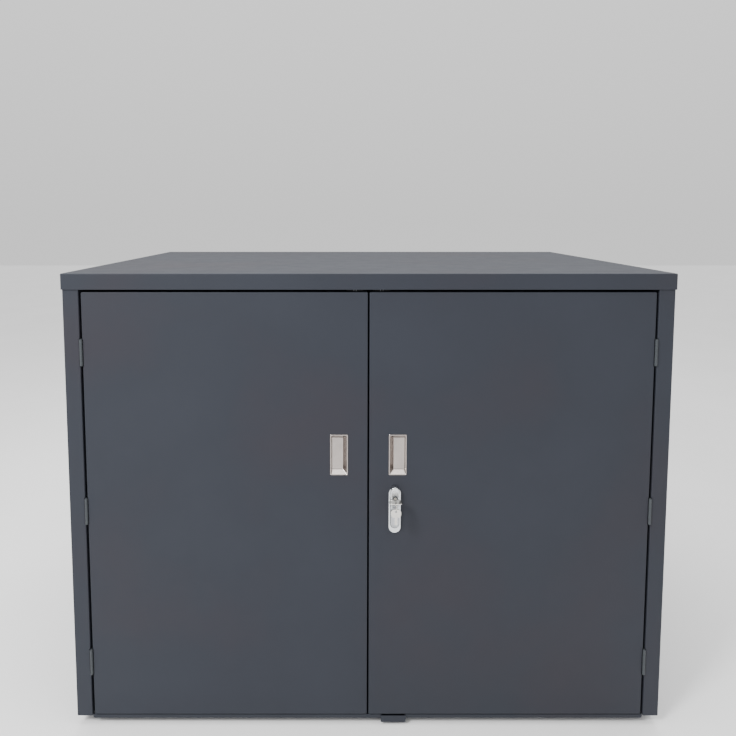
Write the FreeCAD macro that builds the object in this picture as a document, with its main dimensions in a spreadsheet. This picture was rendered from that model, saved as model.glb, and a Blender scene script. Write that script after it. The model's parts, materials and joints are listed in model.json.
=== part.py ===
import FreeCAD, Part
import os
import re
import Sketcher

# A floor-standing battery box: a bent-steel cabinet with two inset doors under a cap lid.
# X runs to the right, the doors face -Y and Z is up.  The origin lies on the floor, in the
# middle of the box.

# ---------------------------------------------------------------------------- driving sizes
SIZES = {
    # body of the box
    "body_width": (1445, "outside, over both posts"),
    "body_depth": (895, "outside, front of the posts to the back"),
    "sheet": (1.5, "steel sheet of the body"),
    "bend": (2, "outer radius of a bent edge"),
    "base_gap": (26, "floor to the lower end of the posts"),
    "floor_low": (25, "underside of the floor pan"),
    "lid_under": (1129.3, "underside of the lid sheet"),
    "lid_over": (2.5, "lid beyond the body on each side"),
    "apron": (38, "height of the lid's apron"),
    "post_width": (38, "front face of a post"),
    "post_return": (30, "depth of a post"),
    "rear_flange": (12, "width of the flange at the back edge of a side"),
    "sill_back": (3, "sill lip behind the door faces"),
    "sill_drop": (9, "sill lip below the floor sheet's top"),
    "wall_up": (25, "upturned edges of the floor pan"),
    # base runners
    "runner_width": (60, "base runner across"),
    "runner_sheet": (3, "base runner steel"),
    "runner_set": (50, "base runner behind the front and the back"),
    "anchor_x": (1300, "floor anchors apart, left to right"),
    "anchor_y": (700, "floor anchors apart, front to back"),
    "anchor_hole": (6.5, "radius of an anchor hole"),
    # doors
    "door_width": (677, "one door"),
    "door_low": (29.5, "lower edge of the doors"),
    "door_high": (1086.5, "upper edge of the doors"),
    "door_deep": (25, "depth of a door's returns"),
    "skin": (1.2, "steel sheet of the doors"),
    "door_lip": (20, "inner lip round a door"),
    "door_corner": (3, "corner radius seen on a door's face"),
    "centre_gap": (3.8, "between the two doors"),
    "side_gap": (5.5, "between a door and its post"),
    "stiffener_at": (372, "middle of the stiffener from the centre gap"),
    "stiffener_wide": (60, "stiffener across"),
    # hinges
    "hinge_low": (167.3, "middle of the lower hinges"),
    "hinge_mid": (552.5, "middle of the middle hinges"),
    "hinge_top": (942.5, "middle of the upper hinges"),
    "hinge_tall": (63.5, "length of a hinge"),
    "hinge_front": (1, "hinge axis in front of the door faces"),
    "barrel": (3.6, "radius of the hinge barrel"),
    "pin": (1.5, "radius of the hinge pin"),
    "pin_play": (0.05, "clearance round a pin"),
    "knuckle_play": (0.15, "end clearance of a knuckle"),
    "leaf": (2, "thickness of a hinge leaf"),
    "leaf_start": (7, "front edge of a leaf behind the door faces"),
    "leaf_deep": (20, "hinge leaf, front to back"),
    "notch_half": (5, "half width of the notch round a barrel"),
    "screw_head": (3.4, "radius of a hinge screw's head"),
    "screw_head_thick": (0.5, "thickness of a hinge screw's head"),
    "screw": (1.9, "radius of a hinge screw"),
    "screw_long": (4, "hinge screw past the face it is driven into"),
    "screw_hole": (2, "radius of a hole for a hinge screw"),
    "screw_up": (19.84, "hinge screws above and below the middle of a hinge"),
    "screw_back": (12, "hinge screws behind the front edge of a leaf"),
    "notch_tall": (66, "height of the notch round a barrel"),
    # recessed pulls
    "pull_at": (70.5, "middle of a pull from the centre gap"),
    "pull_mid": (693, "height of the pulls"),
    "pull_wide": (43, "pull across"),
    "pull_tall": (100, "pull height"),
    "pull_proud": (1.5, "pull rim in front of the door"),
    "pull_rim": (2.6, "width of the raised rim"),
    "pull_deep": (9.6, "depth of the recess"),
    "pull_slope": (7.2, "width of a sloping recess wall"),
    "pull_steep": (1, "width of the steep recess wall"),
    # lock on the right door
    "lock_x": (63.9, "lock axes from the centre gap"),
    "lock_z": (591, "height of the lock cylinder"),
    "turn_drop": (18.6, "handle axis below the cylinder"),
    "plate_half": (14.65, "half width of the lock's base plate"),
    "plate_low": (500, "lower end of the base plate"),
    "plate_high": (613.5, "upper end of the base plate"),
    "plate_thick": (4, "thickness of the base plate"),
    "handle_half": (9.85, "half width of the lock's head, hub and lever"),
    "head_top": (617.5, "upper end of the lock's head"),
    "handle_low": (517, "lower end of the lever"),
    "handle_play": (0.3, "gap under and round the turning pieces"),
    "hub_thick": (10, "thickness of the hub"),
    "lever_thick": (7.6, "thickness of the lever"),
    "fold_drop": (6.5, "lever pin below the handle axis"),
    "cylinder": (6.5, "radius of the lock cylinder"),
    "cylinder_proud": (2.7, "cylinder in front of the lock's head"),
    "cylinder_long": (12, "length of the cylinder"),
    "plug": (4, "radius of the key plug"),
    "spindle": (7, "side of the square spindle"),
    "spindle_bore": (5.3, "radius of the bore round the spindle"),
    "boss": (11, "radius of the lock's threaded boss"),
    "boss_hole": (11.5, "radius of the hole for the boss in the door"),
    "nut": (17, "radius of the nut on the boss"),
    "nut_thick": (5, "thickness of the nut on the boss"),
    "casting_edge": (1.8, "edge radius of the lock's castings"),
    "tongue_half": (5.6, "half width of the lever's tongue"),
    "cheek_near": (5.9, "inner face of a hub cheek from the lock axis"),
    "pivot_bore": (1.5, "radius of the bore for the lever pin"),
    "cam_back": (13, "front of the cam behind the door face"),
    "cam_thick": (3, "thickness of the cam"),
    "cam_half": (17, "radius of the cam"),
    "cam_pin": (2, "radius of a cam pin"),
    "bar_near": (6, "inner edge of a locking rod from the lock axis"),
    "bar_wide": (14, "width of a locking rod"),
    "bar_thick": (3, "thickness of a locking rod"),
    "bar_play": (0.4, "gap between the cam and the rods"),
    "throw": (17.96, "travel of a locking rod"),
    "rod_low": (36, "lower end of the lower rod, drawn back"),
    "rod_high": (1080, "upper end of the upper rod, drawn back"),
    "guide_set": (45, "rod guides from the ends of the door"),
    "guide_half": (8, "half height of a rod guide"),
    "guide_wall": (6, "wall of a rod guide beside the rod"),
    # key, ring and spare key
    "bow_near": (22, "near edge of the key's bow in front of the door"),
    "bow_far": (44, "far edge of the key's bow in front of the door"),
    "bow_half": (15.5, "half width of the key's bow"),
    "key_thick": (2.1, "thickness of a key's bow"),
    "ring": (10, "radius of the key ring's wire circle"),
    "wire": (1.1, "radius of the key ring's wire"),
    # keeper under the sill
    "keeper_wide": (62.5, "keeper across"),
    "keeper_low": (8, "lower face of the keeper"),
    "keeper_deep": (30, "keeper, front to back"),
    "keeper_sheet": (2, "keeper steel"),
    # magnetic catches
    "catch_at": (32, "middle of a catch from the centre gap"),
    "catch_wide": (40, "catch body across"),
    "catch_tall": (28, "catch body height"),
    "catch_deep": (22, "catch body, front to back"),
    "pole_apart": (6, "gap between the pole plates, middle to middle"),
    # inside
    "shelf_high": (552, "top of the battery shelf"),
    "shelf_sheet": (2, "shelf steel"),
    "shelf_front": (60, "shelf behind the front"),
    "shelf_fold": (30, "folded front and rear edges of the shelf"),
    "rail_leg": (40, "legs of a shelf rail"),
    "louvre_long": (120, "length of a louvre"),
    "louvre_step": (30, "louvres one above another"),
    "louvre_at": (200, "middle of a column of louvres from the middle of the back"),
    "louvre_low": (190, "lowest louvre of the low field"),
    "louvre_high": (900, "lowest louvre of the high field"),
    "louvre_tall": (14, "height of a louvre's hood"),
    "louvre_out": (4, "louvre hood behind the back sheet"),
    "gland": (16, "radius of a cable gland's body"),
    "gland_bore": (9, "radius of the way through a cable gland"),
    "gland_at": (540, "middle of the two cable glands"),
    "gland_half": (35, "each cable gland from their middle"),
    "gland_high": (120, "height of the cable glands"),
    "stud": (4, "radius of the earth stud"),
    "stud_at": (440, "earth stud from the middle of the back"),
    "stud_end": (20, "end of the earth stud behind the sides"),
}

FRONT = "(0 - body_depth / 2)"
REAR = "(body_depth / 2)"
SIDE = "(body_width / 2)"
OPENING = "(body_width / 2 - post_width)"
HINGE_X = "(centre_gap / 2 + door_width + side_gap / 2)"
HINGE_Y = "(0 - body_depth / 2 - hinge_front)"
LID_TOP = "(lid_under + sheet)"
APRON_LOW = "(lid_under + sheet - apron)"

doc = FreeCAD.newDocument("battery_box")
sheet = doc.addObject("Spreadsheet::Sheet", "Sizes")
for row, (alias, (value, note)) in enumerate(SIZES.items(), start=1):
    sheet.set(f"A{row}", note)
    sheet.set(f"B{row}", str(value))
    sheet.setAlias(f"B{row}", alias)
doc.recompute()

WORD = re.compile(r"[a-z][a-z_0-9]*")


def cells(text):
    """Puts the sheet's name before each size in an expression."""
    return WORD.sub(lambda found: ("Sizes." if found.group() in SIZES else "") + found.group(), text)


def number(text):
    return float(sheet.evalExpression(cells(text)))


def sided(side, near, far):
    """A low and a high X for a span on the left (-1) or the right (1) of the centre gap."""
    if side > 0:
        return near, far
    return f"0 - ({far})", f"0 - ({near})"


def about(middle, half):
    return f"{middle} - ({half})", f"{middle} + ({half})"


# ---------------------------------------------------------------------------- solid helpers
TURN = {
    "X": FreeCAD.Rotation(FreeCAD.Vector(0, 1, 0), 90),
    "Y": FreeCAD.Rotation(FreeCAD.Vector(1, 0, 0), -90),
    "Z": FreeCAD.Rotation(),
}


def place(piece, x, y, z):
    for axis, text in zip("xyz", (x, y, z)):
        piece.setExpression(f"Placement.Base.{axis}", cells(text))


def block(name, x, y, z):
    """A box between a low and a high value on each axis."""
    piece = doc.addObject("Part::Box", name)
    for size, (low, high) in zip(("Length", "Width", "Height"), (x, y, z)):
        piece.setExpression(size, cells(f"({high}) - ({low})"))
    place(piece, x[0], y[0], z[0])
    return piece


def drum(name, axis, radius, x, y, z):
    """A cylinder along one axis, whose coordinate is a (low, high) pair."""
    ends = {"X": x, "Y": y, "Z": z}[axis]
    piece = doc.addObject("Part::Cylinder", name)
    piece.Placement = FreeCAD.Placement(FreeCAD.Vector(), TURN[axis])
    piece.setExpression("Radius", cells(radius))
    piece.setExpression("Height", cells(f"({ends[1]}) - ({ends[0]})"))
    place(piece, *(value if isinstance(value, str) else value[0] for value in (x, y, z)))
    return piece


def tapered(name, x, y, z, narrow_x, narrow_z):
    """A block along Y whose far face is smaller than its near one."""
    piece = doc.addObject("Part::Wedge", name)
    sizes = {"X": x, "Y": y, "Z": z}
    for axis, (low, high) in sizes.items():
        piece.setExpression(f"{axis}min", cells(low))
        piece.setExpression(f"{axis}max", cells(high))
    for axis, (low, high) in {"X2": narrow_x, "Z2": narrow_z}.items():
        piece.setExpression(f"{axis}min", cells(low))
        piece.setExpression(f"{axis}max", cells(high))
    return piece


def fuse(name, pieces):
    piece = doc.addObject("Part::MultiFuse", name)
    piece.Shapes = pieces
    piece.Refine = True
    return piece


def group(name, pieces):
    """Separate solids of one kind, kept together."""
    piece = doc.addObject("Part::Compound", name)
    piece.Links = pieces
    return piece


def cut(name, base, tools):
    tool = tools[0] if len(tools) == 1 else fuse(name + "_tools", tools)
    piece = doc.addObject("Part::Cut", name)
    piece.Base = base
    piece.Tool = tool
    piece.Refine = True
    return piece


def rounded(name, base, radius_of):
    """A fillet on each edge for which radius_of gives a radius."""
    doc.recompute()
    piece = doc.addObject("Part::Fillet", name)
    piece.Base = base
    edges = []
    for index, edge in enumerate(base.Shape.Edges, start=1):
        radius = radius_of(edge)
        if radius:
            edges.append((index, radius, radius))
    piece.Edges = edges
    return piece


def along(edge, axis):
    if not isinstance(edge.Curve, Part.Line):
        return False
    return abs(getattr(edge.Curve.Direction, axis)) > 0.999


def lies(edge, axis, value):
    box = edge.BoundBox
    low, high = getattr(box, axis + "Min"), getattr(box, axis + "Max")
    return abs(low - value) < 1e-4 and abs(high - value) < 1e-4


def bent_sheet(label, plane, points, start, length):
    """A body padded from one closed outline, whose corners are bound to the sheet."""
    body = doc.addObject("PartDesign::Body", label)
    body.Label = label
    sketch = body.newObject("Sketcher::SketchObject", label + "_outline")
    base = [item for item in body.Origin.OriginFeatures if item.Role == plane][0]
    sketch.AttachmentSupport = [(base, "")]
    sketch.MapMode = "FlatFace"
    sketch.setExpression("AttachmentOffset.Base.z", cells(start))
    spots = [FreeCAD.Vector(number(x), number(y), 0) for x, y in points]
    for index, spot in enumerate(spots):
        sketch.addGeometry(Part.LineSegment(spot, spots[(index + 1) % len(spots)]), False)
    for index, (x, y) in enumerate(points):
        sketch.addConstraint(Sketcher.Constraint("Coincident", index, 2, (index + 1) % len(points), 1))
        for kind, text in (("DistanceX", x), ("DistanceY", y)):
            added = sketch.addConstraint(Sketcher.Constraint(kind, -1, 1, index, 1, number(text)))
            sketch.setExpression(f"Constraints[{added}]", cells(text))
    pad = body.newObject("PartDesign::Pad", label + "_pad")
    pad.Profile = sketch
    pad.setExpression("Length", cells(length))
    doc.recompute()
    return body


PARTS = {}


def keep(label, piece):
    """Names a finished sub-part; its label is the name of its file."""
    piece.Label = label
    PARTS[label] = piece


# ---------------------------------------------------------------------------- hinges
HINGES = {"lower": "hinge_low", "middle": "hinge_mid", "upper": "hinge_top"}
SIDES = {"left": -1, "right": 1}
KNUCKLES = 5


def knuckle_span(middle, index):
    """The Z span of one of the five knuckles, counted from below."""
    low = f"{middle} - hinge_tall / 2 + {index} * hinge_tall / {KNUCKLES} + knuckle_play"
    high = f"{middle} - hinge_tall / 2 + {index + 1} * hinge_tall / {KNUCKLES} - knuckle_play"
    return low, high


def hinge_leaf(label, side, middle, owner):
    """A leaf, flat against the post or the door edge, with its share of the knuckles."""
    if owner == "frame":
        across = sided(side, f"{HINGE_X} + side_gap / 2 - leaf", f"{HINGE_X} + side_gap / 2")
        mine = range(0, KNUCKLES, 2)
    else:
        across = sided(side, f"{HINGE_X} - side_gap / 2", f"{HINGE_X} - side_gap / 2 + leaf")
        mine = range(1, KNUCKLES, 2)
    deep = (f"{FRONT} + leaf_start", f"{FRONT} + leaf_start + leaf_deep")
    pieces = [block(label + "_plate", across, deep, about(middle, "hinge_tall / 2"))]
    axis_x = f"{side} * {HINGE_X}"
    for index in mine:
        span = knuckle_span(middle, index)
        pieces.append(block(f"{label}_arm{index}", across, (HINGE_Y, f"{FRONT} + leaf_start"), span))
        pieces.append(drum(f"{label}_knuckle{index}", "Z", "barrel", axis_x, HINGE_Y, span))
    whole = fuse(label + "_whole", pieces)
    bore = drum(label + "_bore", "Z", "pin + pin_play", axis_x, HINGE_Y, about(middle, "hinge_tall"))
    holes = [bore]
    for offset in (-1, 1):
        height = f"{middle} + {offset} * screw_up"
        holes.append(drum(f"{label}_hole{offset}", "X", "screw_hole", about(f"{side} * {HINGE_X}", "9"),
                          f"{FRONT} + leaf_start + screw_back", height))
    keep(label, cut(label + "_body", whole, holes))


def hinge_pins(label, side):
    pins = []
    for name, middle in HINGES.items():
        axis_x = f"{side} * {HINGE_X}"
        half = "hinge_tall / 2"
        shank = drum(f"{label}_{name}", "Z", "pin", axis_x, HINGE_Y, about(middle, f"{half} + 0.5"))
        caps = []
        for name_end, low in (("foot", f"{middle} - {half} - 1"), ("head", f"{middle} + {half}")):
            caps.append(drum(f"{label}_{name}_{name_end}", "Z", "barrel - 0.5", axis_x, HINGE_Y,
                             (low, f"{low} + 1")))
        pins.append(fuse(f"{label}_{name}_whole", [shank] + caps))
    keep(label, group(label, pins))


def hinge_screws(label, side, owner):
    """Pan-head screws through the leaves, two to a leaf."""
    screws = []
    for name, middle in HINGES.items():
        for offset in (-1, 1):
            height = f"{middle} + {offset} * screw_up"
            deep = f"{FRONT} + leaf_start + screw_back"
            stem = f"{label}_{name}{offset}"
            if owner == "frame":
                sheet_at = f"{HINGE_X} + side_gap / 2"
                head = sided(side, f"{sheet_at} - leaf - screw_head_thick", f"{sheet_at} - leaf")
                shank = sided(side, f"{sheet_at} - leaf", f"{sheet_at} + screw_long")
            else:
                sheet_at = f"{HINGE_X} - side_gap / 2"
                head = sided(side, f"{sheet_at} + leaf", f"{sheet_at} + leaf + screw_head_thick")
                shank = sided(side, f"{sheet_at} - screw_long", f"{sheet_at} + leaf")
            screws.append(fuse(stem, [
                drum(stem + "_head", "X", "screw_head", head, deep, height),
                drum(stem + "_shank", "X", "screw", shank, deep, height)]))
    keep(label, group(label, screws))


def screw_holes(stem, side, sheet_at):
    """Clearance holes in a post or a door edge for the hinge screws."""
    holes = []
    for name, middle in HINGES.items():
        for offset in (-1, 1):
            height = f"{middle} + {offset} * screw_up"
            across = about(f"{side} * {sheet_at}", "2.4")
            holes.append(drum(f"{stem}_{name}{offset}", "X", "screw_hole", across,
                              f"{FRONT} + leaf_start + screw_back", height))
    return holes


def barrel_notches(stem, side):
    """Room for the hinge barrels, in a post or a door edge."""
    return [block(f"{stem}_{name}", about(f"{side} * {HINGE_X}", "notch_half"),
                  (f"{FRONT} - 5", f"{FRONT} + leaf_start"), about(middle, "notch_tall / 2"))
            for name, middle in HINGES.items()]


# ---------------------------------------------------------------------------- cabinet body
def side_panel(label, side):
    """A side with its front post and rear flange, bent from one sheet."""
    outline = [
        (SIDE, FRONT), (SIDE, REAR), (f"{SIDE} - rear_flange", REAR),
        (f"{SIDE} - rear_flange", f"{REAR} - sheet"), (f"{SIDE} - sheet", f"{REAR} - sheet"),
        (f"{SIDE} - sheet", f"{FRONT} + sheet"), (f"{OPENING} + sheet", f"{FRONT} + sheet"),
        (f"{OPENING} + sheet", f"{FRONT} + post_return"), (OPENING, f"{FRONT} + post_return"),
        (OPENING, FRONT),
    ]
    points = [(f"{side} * {x}" if x.startswith("(") and x.endswith(")") else f"{side} * ({x})", y)
              for x, y in outline]
    panel = bent_sheet(label + "_sheet", "XY_Plane", points, "base_gap", "lid_under - base_gap")
    bend = number("bend")
    outer_x = abs(number(SIDE))
    inner_x = number(OPENING)
    front = number(FRONT)

    def bends(edge):
        at_front = along(edge, "z") and lies(edge, "Y", front)
        corner = lies(edge, "X", side * outer_x) or lies(edge, "X", side * inner_x)
        return bend if at_front and corner else 0
    smooth = rounded(label + "_bends", panel, bends)
    tools = barrel_notches(label + "_notch", side) + screw_holes(label + "_hole", side, OPENING)
    keep(label, cut(label + "_body", smooth, tools))


def floor_pan():
    """The floor with its upturned side and rear edges."""
    top = "floor_low + sheet"
    inner = f"{SIDE} - sheet - 0.2"
    behind_post = f"{FRONT} + post_return + 1"
    rear = f"{REAR} - sheet - sheet - 0.4"
    tall = ("floor_low", f"{top} + wall_up")
    pieces = [
        block("floor_sheet", about("0", inner), (behind_post, rear), ("floor_low", top)),
        block("floor_rear", about("0", inner), (f"{rear} - sheet", rear), tall),
    ]
    for name, side in SIDES.items():
        wall = sided(side, f"{inner} - sheet", inner)
        pieces.append(block(f"floor_{name}", wall, (behind_post, rear), tall))
    tools = []
    for x in (-1, 1):
        for y in (-1, 1):
            tools.append(drum(f"floor_anchor{x}{y}", "Z", "anchor_hole + 4", f"{x} * anchor_x / 2",
                              f"{y} * anchor_y / 2", ("floor_low - 1", "floor_low + 5")))
    keep("floor_pan", cut("floor_body", fuse("floor_whole", pieces), tools))


def sill():
    """The front edge of the floor: a bent strip on each side of the keeper."""
    top = "floor_low + sheet"
    front = f"{FRONT} + sill_back"
    behind_post = f"{FRONT} + post_return + 1"
    corner_x = number(f"{OPENING} - 0.5")
    lip_front = number(front)
    lip_top = number(top)
    lip_low = number(f"{top} - sill_drop")

    def bends(edge):
        if along(edge, "x") and lies(edge, "Y", lip_front) and lies(edge, "Z", lip_top):
            return 1.4
        at_corner = lies(edge, "X", corner_x) or lies(edge, "X", -corner_x)
        if along(edge, "y") and at_corner and lies(edge, "Z", lip_low):
            return 5
        return 0
    spans = {
        "left": (f"0 - {OPENING} + 0.5", "lock_x - keeper_wide / 2 + keeper_sheet"),
        "right": ("lock_x + keeper_wide / 2 - keeper_sheet", f"{OPENING} - 0.5"),
    }
    strips = []
    for name, across in spans.items():
        strip = fuse(f"sill_{name}_whole", [
            block(f"sill_{name}_tread", across, (front, behind_post), ("floor_low", top)),
            block(f"sill_{name}_lip", across, (front, f"{front} + sheet"), (f"{top} - sill_drop", top))])
        strips.append(rounded(f"sill_{name}", strip, bends))
    keep("sill", group("sill_strips", strips))


def roof_lid():
    """The cap lid: a flat sheet with an apron on all four sides."""
    half_x = f"{SIDE} + lid_over"
    half_y = f"{REAR} + lid_over"
    cap = block("lid_block", about("0", half_x), about("0", half_y), (APRON_LOW, LID_TOP))
    top = number(LID_TOP)

    def bends(edge):
        if lies(edge, "Z", top) or along(edge, "z"):
            return number("bend")
        return 0
    smooth = rounded("lid_bends", cap, bends)
    hollow = block("lid_hollow", about("0", f"{half_x} - sheet"), about("0", f"{half_y} - sheet"),
                   (f"{APRON_LOW} - 1", "lid_under"))
    keep("roof_lid", cut("lid_body", smooth, [hollow]))


def header_rail():
    """The front top rail: a channel behind the apron that carries the catches."""
    low = f"{APRON_LOW} + 1"
    front = f"{FRONT} + 2"
    outline = [
        (front, low), (f"{front} + 60", low), (f"{front} + 60", f"{low} + 15"),
        (f"{front} + 60 - sheet", f"{low} + 15"), (f"{front} + 60 - sheet", f"{low} + sheet"),
        (f"{front} + sheet", f"{low} + sheet"), (f"{front} + sheet", "lid_under - sheet"),
        (f"{front} + 20", "lid_under - sheet"), (f"{front} + 20", "lid_under"), (front, "lid_under"),
    ]
    rail = bent_sheet("header_rail_sheet", "YZ_Plane", outline, f"0 - {OPENING} + 0.2",
                      f"2 * {OPENING} - 0.4")
    slot = block("header_rod_slot", ("lock_x + bar_near - 1", "lock_x + bar_near + bar_wide + 1"),
                 (f"{FRONT} + cam_back + cam_thick - 0.4", f"{FRONT} + cam_back + cam_thick + 5"),
                 (f"{low} - 1", f"{low} + 4"))
    keep("header_rail", cut("header_rail_body", rail, [slot]))


LOUVRES = 5


def back_panel():
    """The back, with two fields of hooded louvres and holes for the glands and the earth stud."""
    plate = ("0 - (body_width / 2 - sheet - 0.3)", "body_width / 2 - sheet - 0.3")
    deep = (f"{REAR} - 2 * sheet - 0.2", f"{REAR} - sheet - 0.2")
    panel = block("back_sheet", plate, deep, ("base_gap + 2", "lid_under - 0.3"))
    hoods, slots = [], []
    for field in ("low", "high"):
        for column in (-1, 1):
            for row in range(LOUVRES):
                stem = f"louvre_{field}{column}_{row}"
                across = about(f"{column} * louvre_at", "louvre_long / 2")
                inner = about(f"{column} * louvre_at", "louvre_long / 2 - 3")
                height = f"louvre_{field} + {row} * louvre_step"
                hoods.append(tapered(stem + "_hood", across, (f"{deep[1]} - 0.5", f"{deep[1]} + louvre_out"),
                                     (height, f"{height} + louvre_tall"), inner, (height, f"{height} + 4")))
                slots.append(block(stem + "_slot", inner, (f"{deep[0]} - 1", f"{deep[1]} + 2.5"),
                                   (f"{height} - 1", f"{height} + 3.5")))
    for column in (-1, 1):
        slots.append(drum(f"back_gland{column}", "Y", "gland", f"gland_at + {column} * gland_half",
                          (f"{deep[0]} - 5", f"{deep[1]} + 5"), "gland_high"))
    slots.append(drum("back_stud", "Y", "stud + 0.2", "stud_at", (f"{deep[0]} - 5", f"{deep[1]} + 5"),
                      "gland_high"))
    keep("back_panel", cut("back_body", fuse("back_whole", [panel] + hoods), slots))


def base_runner(label, side):
    """A channel under one side of the floor, with two anchor holes in its foot."""
    middle = f"{side} * anchor_x / 2"
    half = "runner_width / 2"
    outline = [
        (f"{middle} - {half}", "0"), (f"{middle} + {half}", "0"),
        (f"{middle} + {half}", "runner_sheet"), (f"{middle} - {half} + runner_sheet", "runner_sheet"),
        (f"{middle} - {half} + runner_sheet", "floor_low - runner_sheet"),
        (f"{middle} + {half}", "floor_low - runner_sheet"), (f"{middle} + {half}", "floor_low"),
        (f"{middle} - {half}", "floor_low"),
    ]
    runner = bent_sheet(label + "_channel", "XZ_Plane", outline, f"0 - {REAR} + runner_set",
                        "body_depth - 2 * runner_set")
    holes = []
    for end in (-1, 1):
        spot = (middle, f"{end} * anchor_y / 2")
        holes.append(drum(f"{label}_anchor{end}", "Z", "anchor_hole", *spot, ("0 - 1", "runner_sheet + 1")))
        holes.append(drum(f"{label}_access{end}", "Z", "anchor_hole + 4", *spot,
                          ("floor_low - runner_sheet - 1", "floor_low + 1")))
    keep(label, cut(label + "_body", runner, holes))


def keeper():
    """The pocket under the sill that the lower locking rod drops into."""
    top = "floor_low"
    low = "keeper_low"
    front = FRONT
    back = f"{FRONT} + keeper_deep"
    outer = block("keeper_outer", about("lock_x", "keeper_wide / 2"), (front, back), (low, top))
    ears = block("keeper_ears", about("lock_x", "keeper_wide / 2 + 12"),
                 (f"{FRONT} + sill_back + sheet + 1", back), (f"{top} - keeper_sheet", top))
    pocket = block("keeper_pocket", about("lock_x", "keeper_wide / 2 - keeper_sheet"),
                   (f"{front} + keeper_sheet", f"{back} - keeper_sheet"),
                   (f"{low} + keeper_sheet", f"{top} + 1"))
    lip_room = []
    for name, side in SIDES.items():
        edge = f"lock_x + {side} * (keeper_wide / 2 - keeper_sheet / 2)"
        lip_room.append(block(f"keeper_lip_{name}", about(edge, "keeper_sheet"),
                              (f"{FRONT} + sill_back - 0.3", f"{FRONT} + sill_back + sheet + 0.3"),
                              ("floor_low + sheet - sill_drop - 0.3", f"{top} + 1")))
    front_y = number(front)
    low_z = number(low)

    def corners(edge):
        if lies(edge, "Z", low_z) and lies(edge, "Y", front_y):
            return 1.5
        if along(edge, "y") and lies(edge, "Z", low_z):
            return 1.5
        return 0
    shell = rounded("keeper_rounded", fuse("keeper_solid", [outer, ears]), corners)
    keep("keeper", cut("keeper_body", shell, [pocket] + lip_room))


def catch(name, side):
    """A magnetic catch: a plastic body under the header with two steel pole plates."""
    top = f"{APRON_LOW} + 1"
    face = f"{FRONT} + door_deep + 2.6"
    middle = f"{side} * catch_at"
    span = about(middle, "catch_wide / 2")
    deep = (face, f"{face} + catch_deep")
    tall = (f"{top} - catch_tall", top)
    poles, room = [], []
    for offset in (-1, 1):
        pole_x = f"{middle} + {offset} * pole_apart / 2"
        stem = f"catch_{name}_pole{offset}"
        poles.append(block(stem, about(pole_x, "0.7"), (f"{face} - 0.8", f"{face} + 16"),
                           (f"{top} - catch_tall + 3", f"{top} - 3")))
        room.append(block(stem + "_room", about(pole_x, "0.7"), (f"{face} - 1", f"{face} + 16"),
                          (f"{top} - catch_tall + 3", f"{top} - 3")))
    body = block(f"catch_{name}_block", span, deep, tall)
    keep(f"catch_{name}", cut(f"catch_{name}_body", body, room))
    keep(f"catch_{name}_poles", group(f"catch_{name}_poles", poles))


def shelf():
    """A load-bearing tray on two rails, with folded front and rear edges."""
    top = "shelf_high"
    front = f"{FRONT} + shelf_front"
    rear = f"{REAR} - 20"
    low = f"{top} - shelf_fold"
    outline = [
        (front, top), (front, low), (f"{front} + shelf_sheet", low),
        (f"{front} + shelf_sheet", f"{top} - shelf_sheet"), (f"{rear} - shelf_sheet", f"{top} - shelf_sheet"),
        (f"{rear} - shelf_sheet", low), (rear, low), (rear, top),
    ]
    tray = bent_sheet("battery_shelf_sheet", "YZ_Plane", outline, f"0 - {SIDE} + sheet + 1",
                      f"2 * ({SIDE} - sheet - 1)")
    keep("battery_shelf", tray)
    rails = []
    wall = f"{SIDE} - sheet"
    rail_top = f"{top} - shelf_sheet"
    deep = (f"{front} + 10", f"{rear} - 10")
    for name, side in SIDES.items():
        stem = f"shelf_rail_{name}"
        rails.append(fuse(stem, [
            block(stem + "_leg", sided(side, f"{wall} - shelf_sheet", wall), deep,
                  (f"{rail_top} - rail_leg", rail_top)),
            block(stem + "_seat", sided(side, f"{wall} - rail_leg", wall), deep,
                  (f"{rail_top} - shelf_sheet", rail_top))]))
    keep("shelf_rails", group("shelf_rails_pair", rails))


def cable_gland(label, column):
    """A plastic gland: flange outside, nut inside and a dome with the way through."""
    spot = f"gland_at + {column} * gland_half"
    outside = f"{REAR} - sheet - 0.2"
    inside = f"{REAR} - 2 * sheet - 0.2"
    body = fuse(label + "_whole", [
        drum(label + "_thread", "Y", "gland - 0.2", spot, (f"{inside} - 8", outside), "gland_high"),
        drum(label + "_flange", "Y", "gland + 5", spot, (outside, f"{outside} + 3"), "gland_high"),
        drum(label + "_nut", "Y", "gland + 5", spot, (f"{inside} - 5", inside), "gland_high")])
    keep(label, cut(label + "_body", body, [
        drum(label + "_way", "Y", "gland_bore", spot, (f"{inside} - 20", f"{outside} + 20"), "gland_high")]))


def earth_stud():
    """A bolt through the back with its head inside, and a nut that leaves its end free."""
    outside = f"{REAR} - sheet - 0.2"
    inside = f"{REAR} - 2 * sheet - 0.2"
    keep("earth_stud", fuse("earth_stud_body", [
        drum("earth_shank", "Y", "stud", "stud_at", (f"{inside} - 4", f"{REAR} + stud_end"), "gland_high"),
        drum("earth_head", "Y", "stud + 3", "stud_at", (f"{inside} - 4", inside), "gland_high"),
        drum("earth_nut", "Y", "stud + 3.5", "stud_at", (outside, f"{outside} + 5.5"), "gland_high")]))


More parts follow.
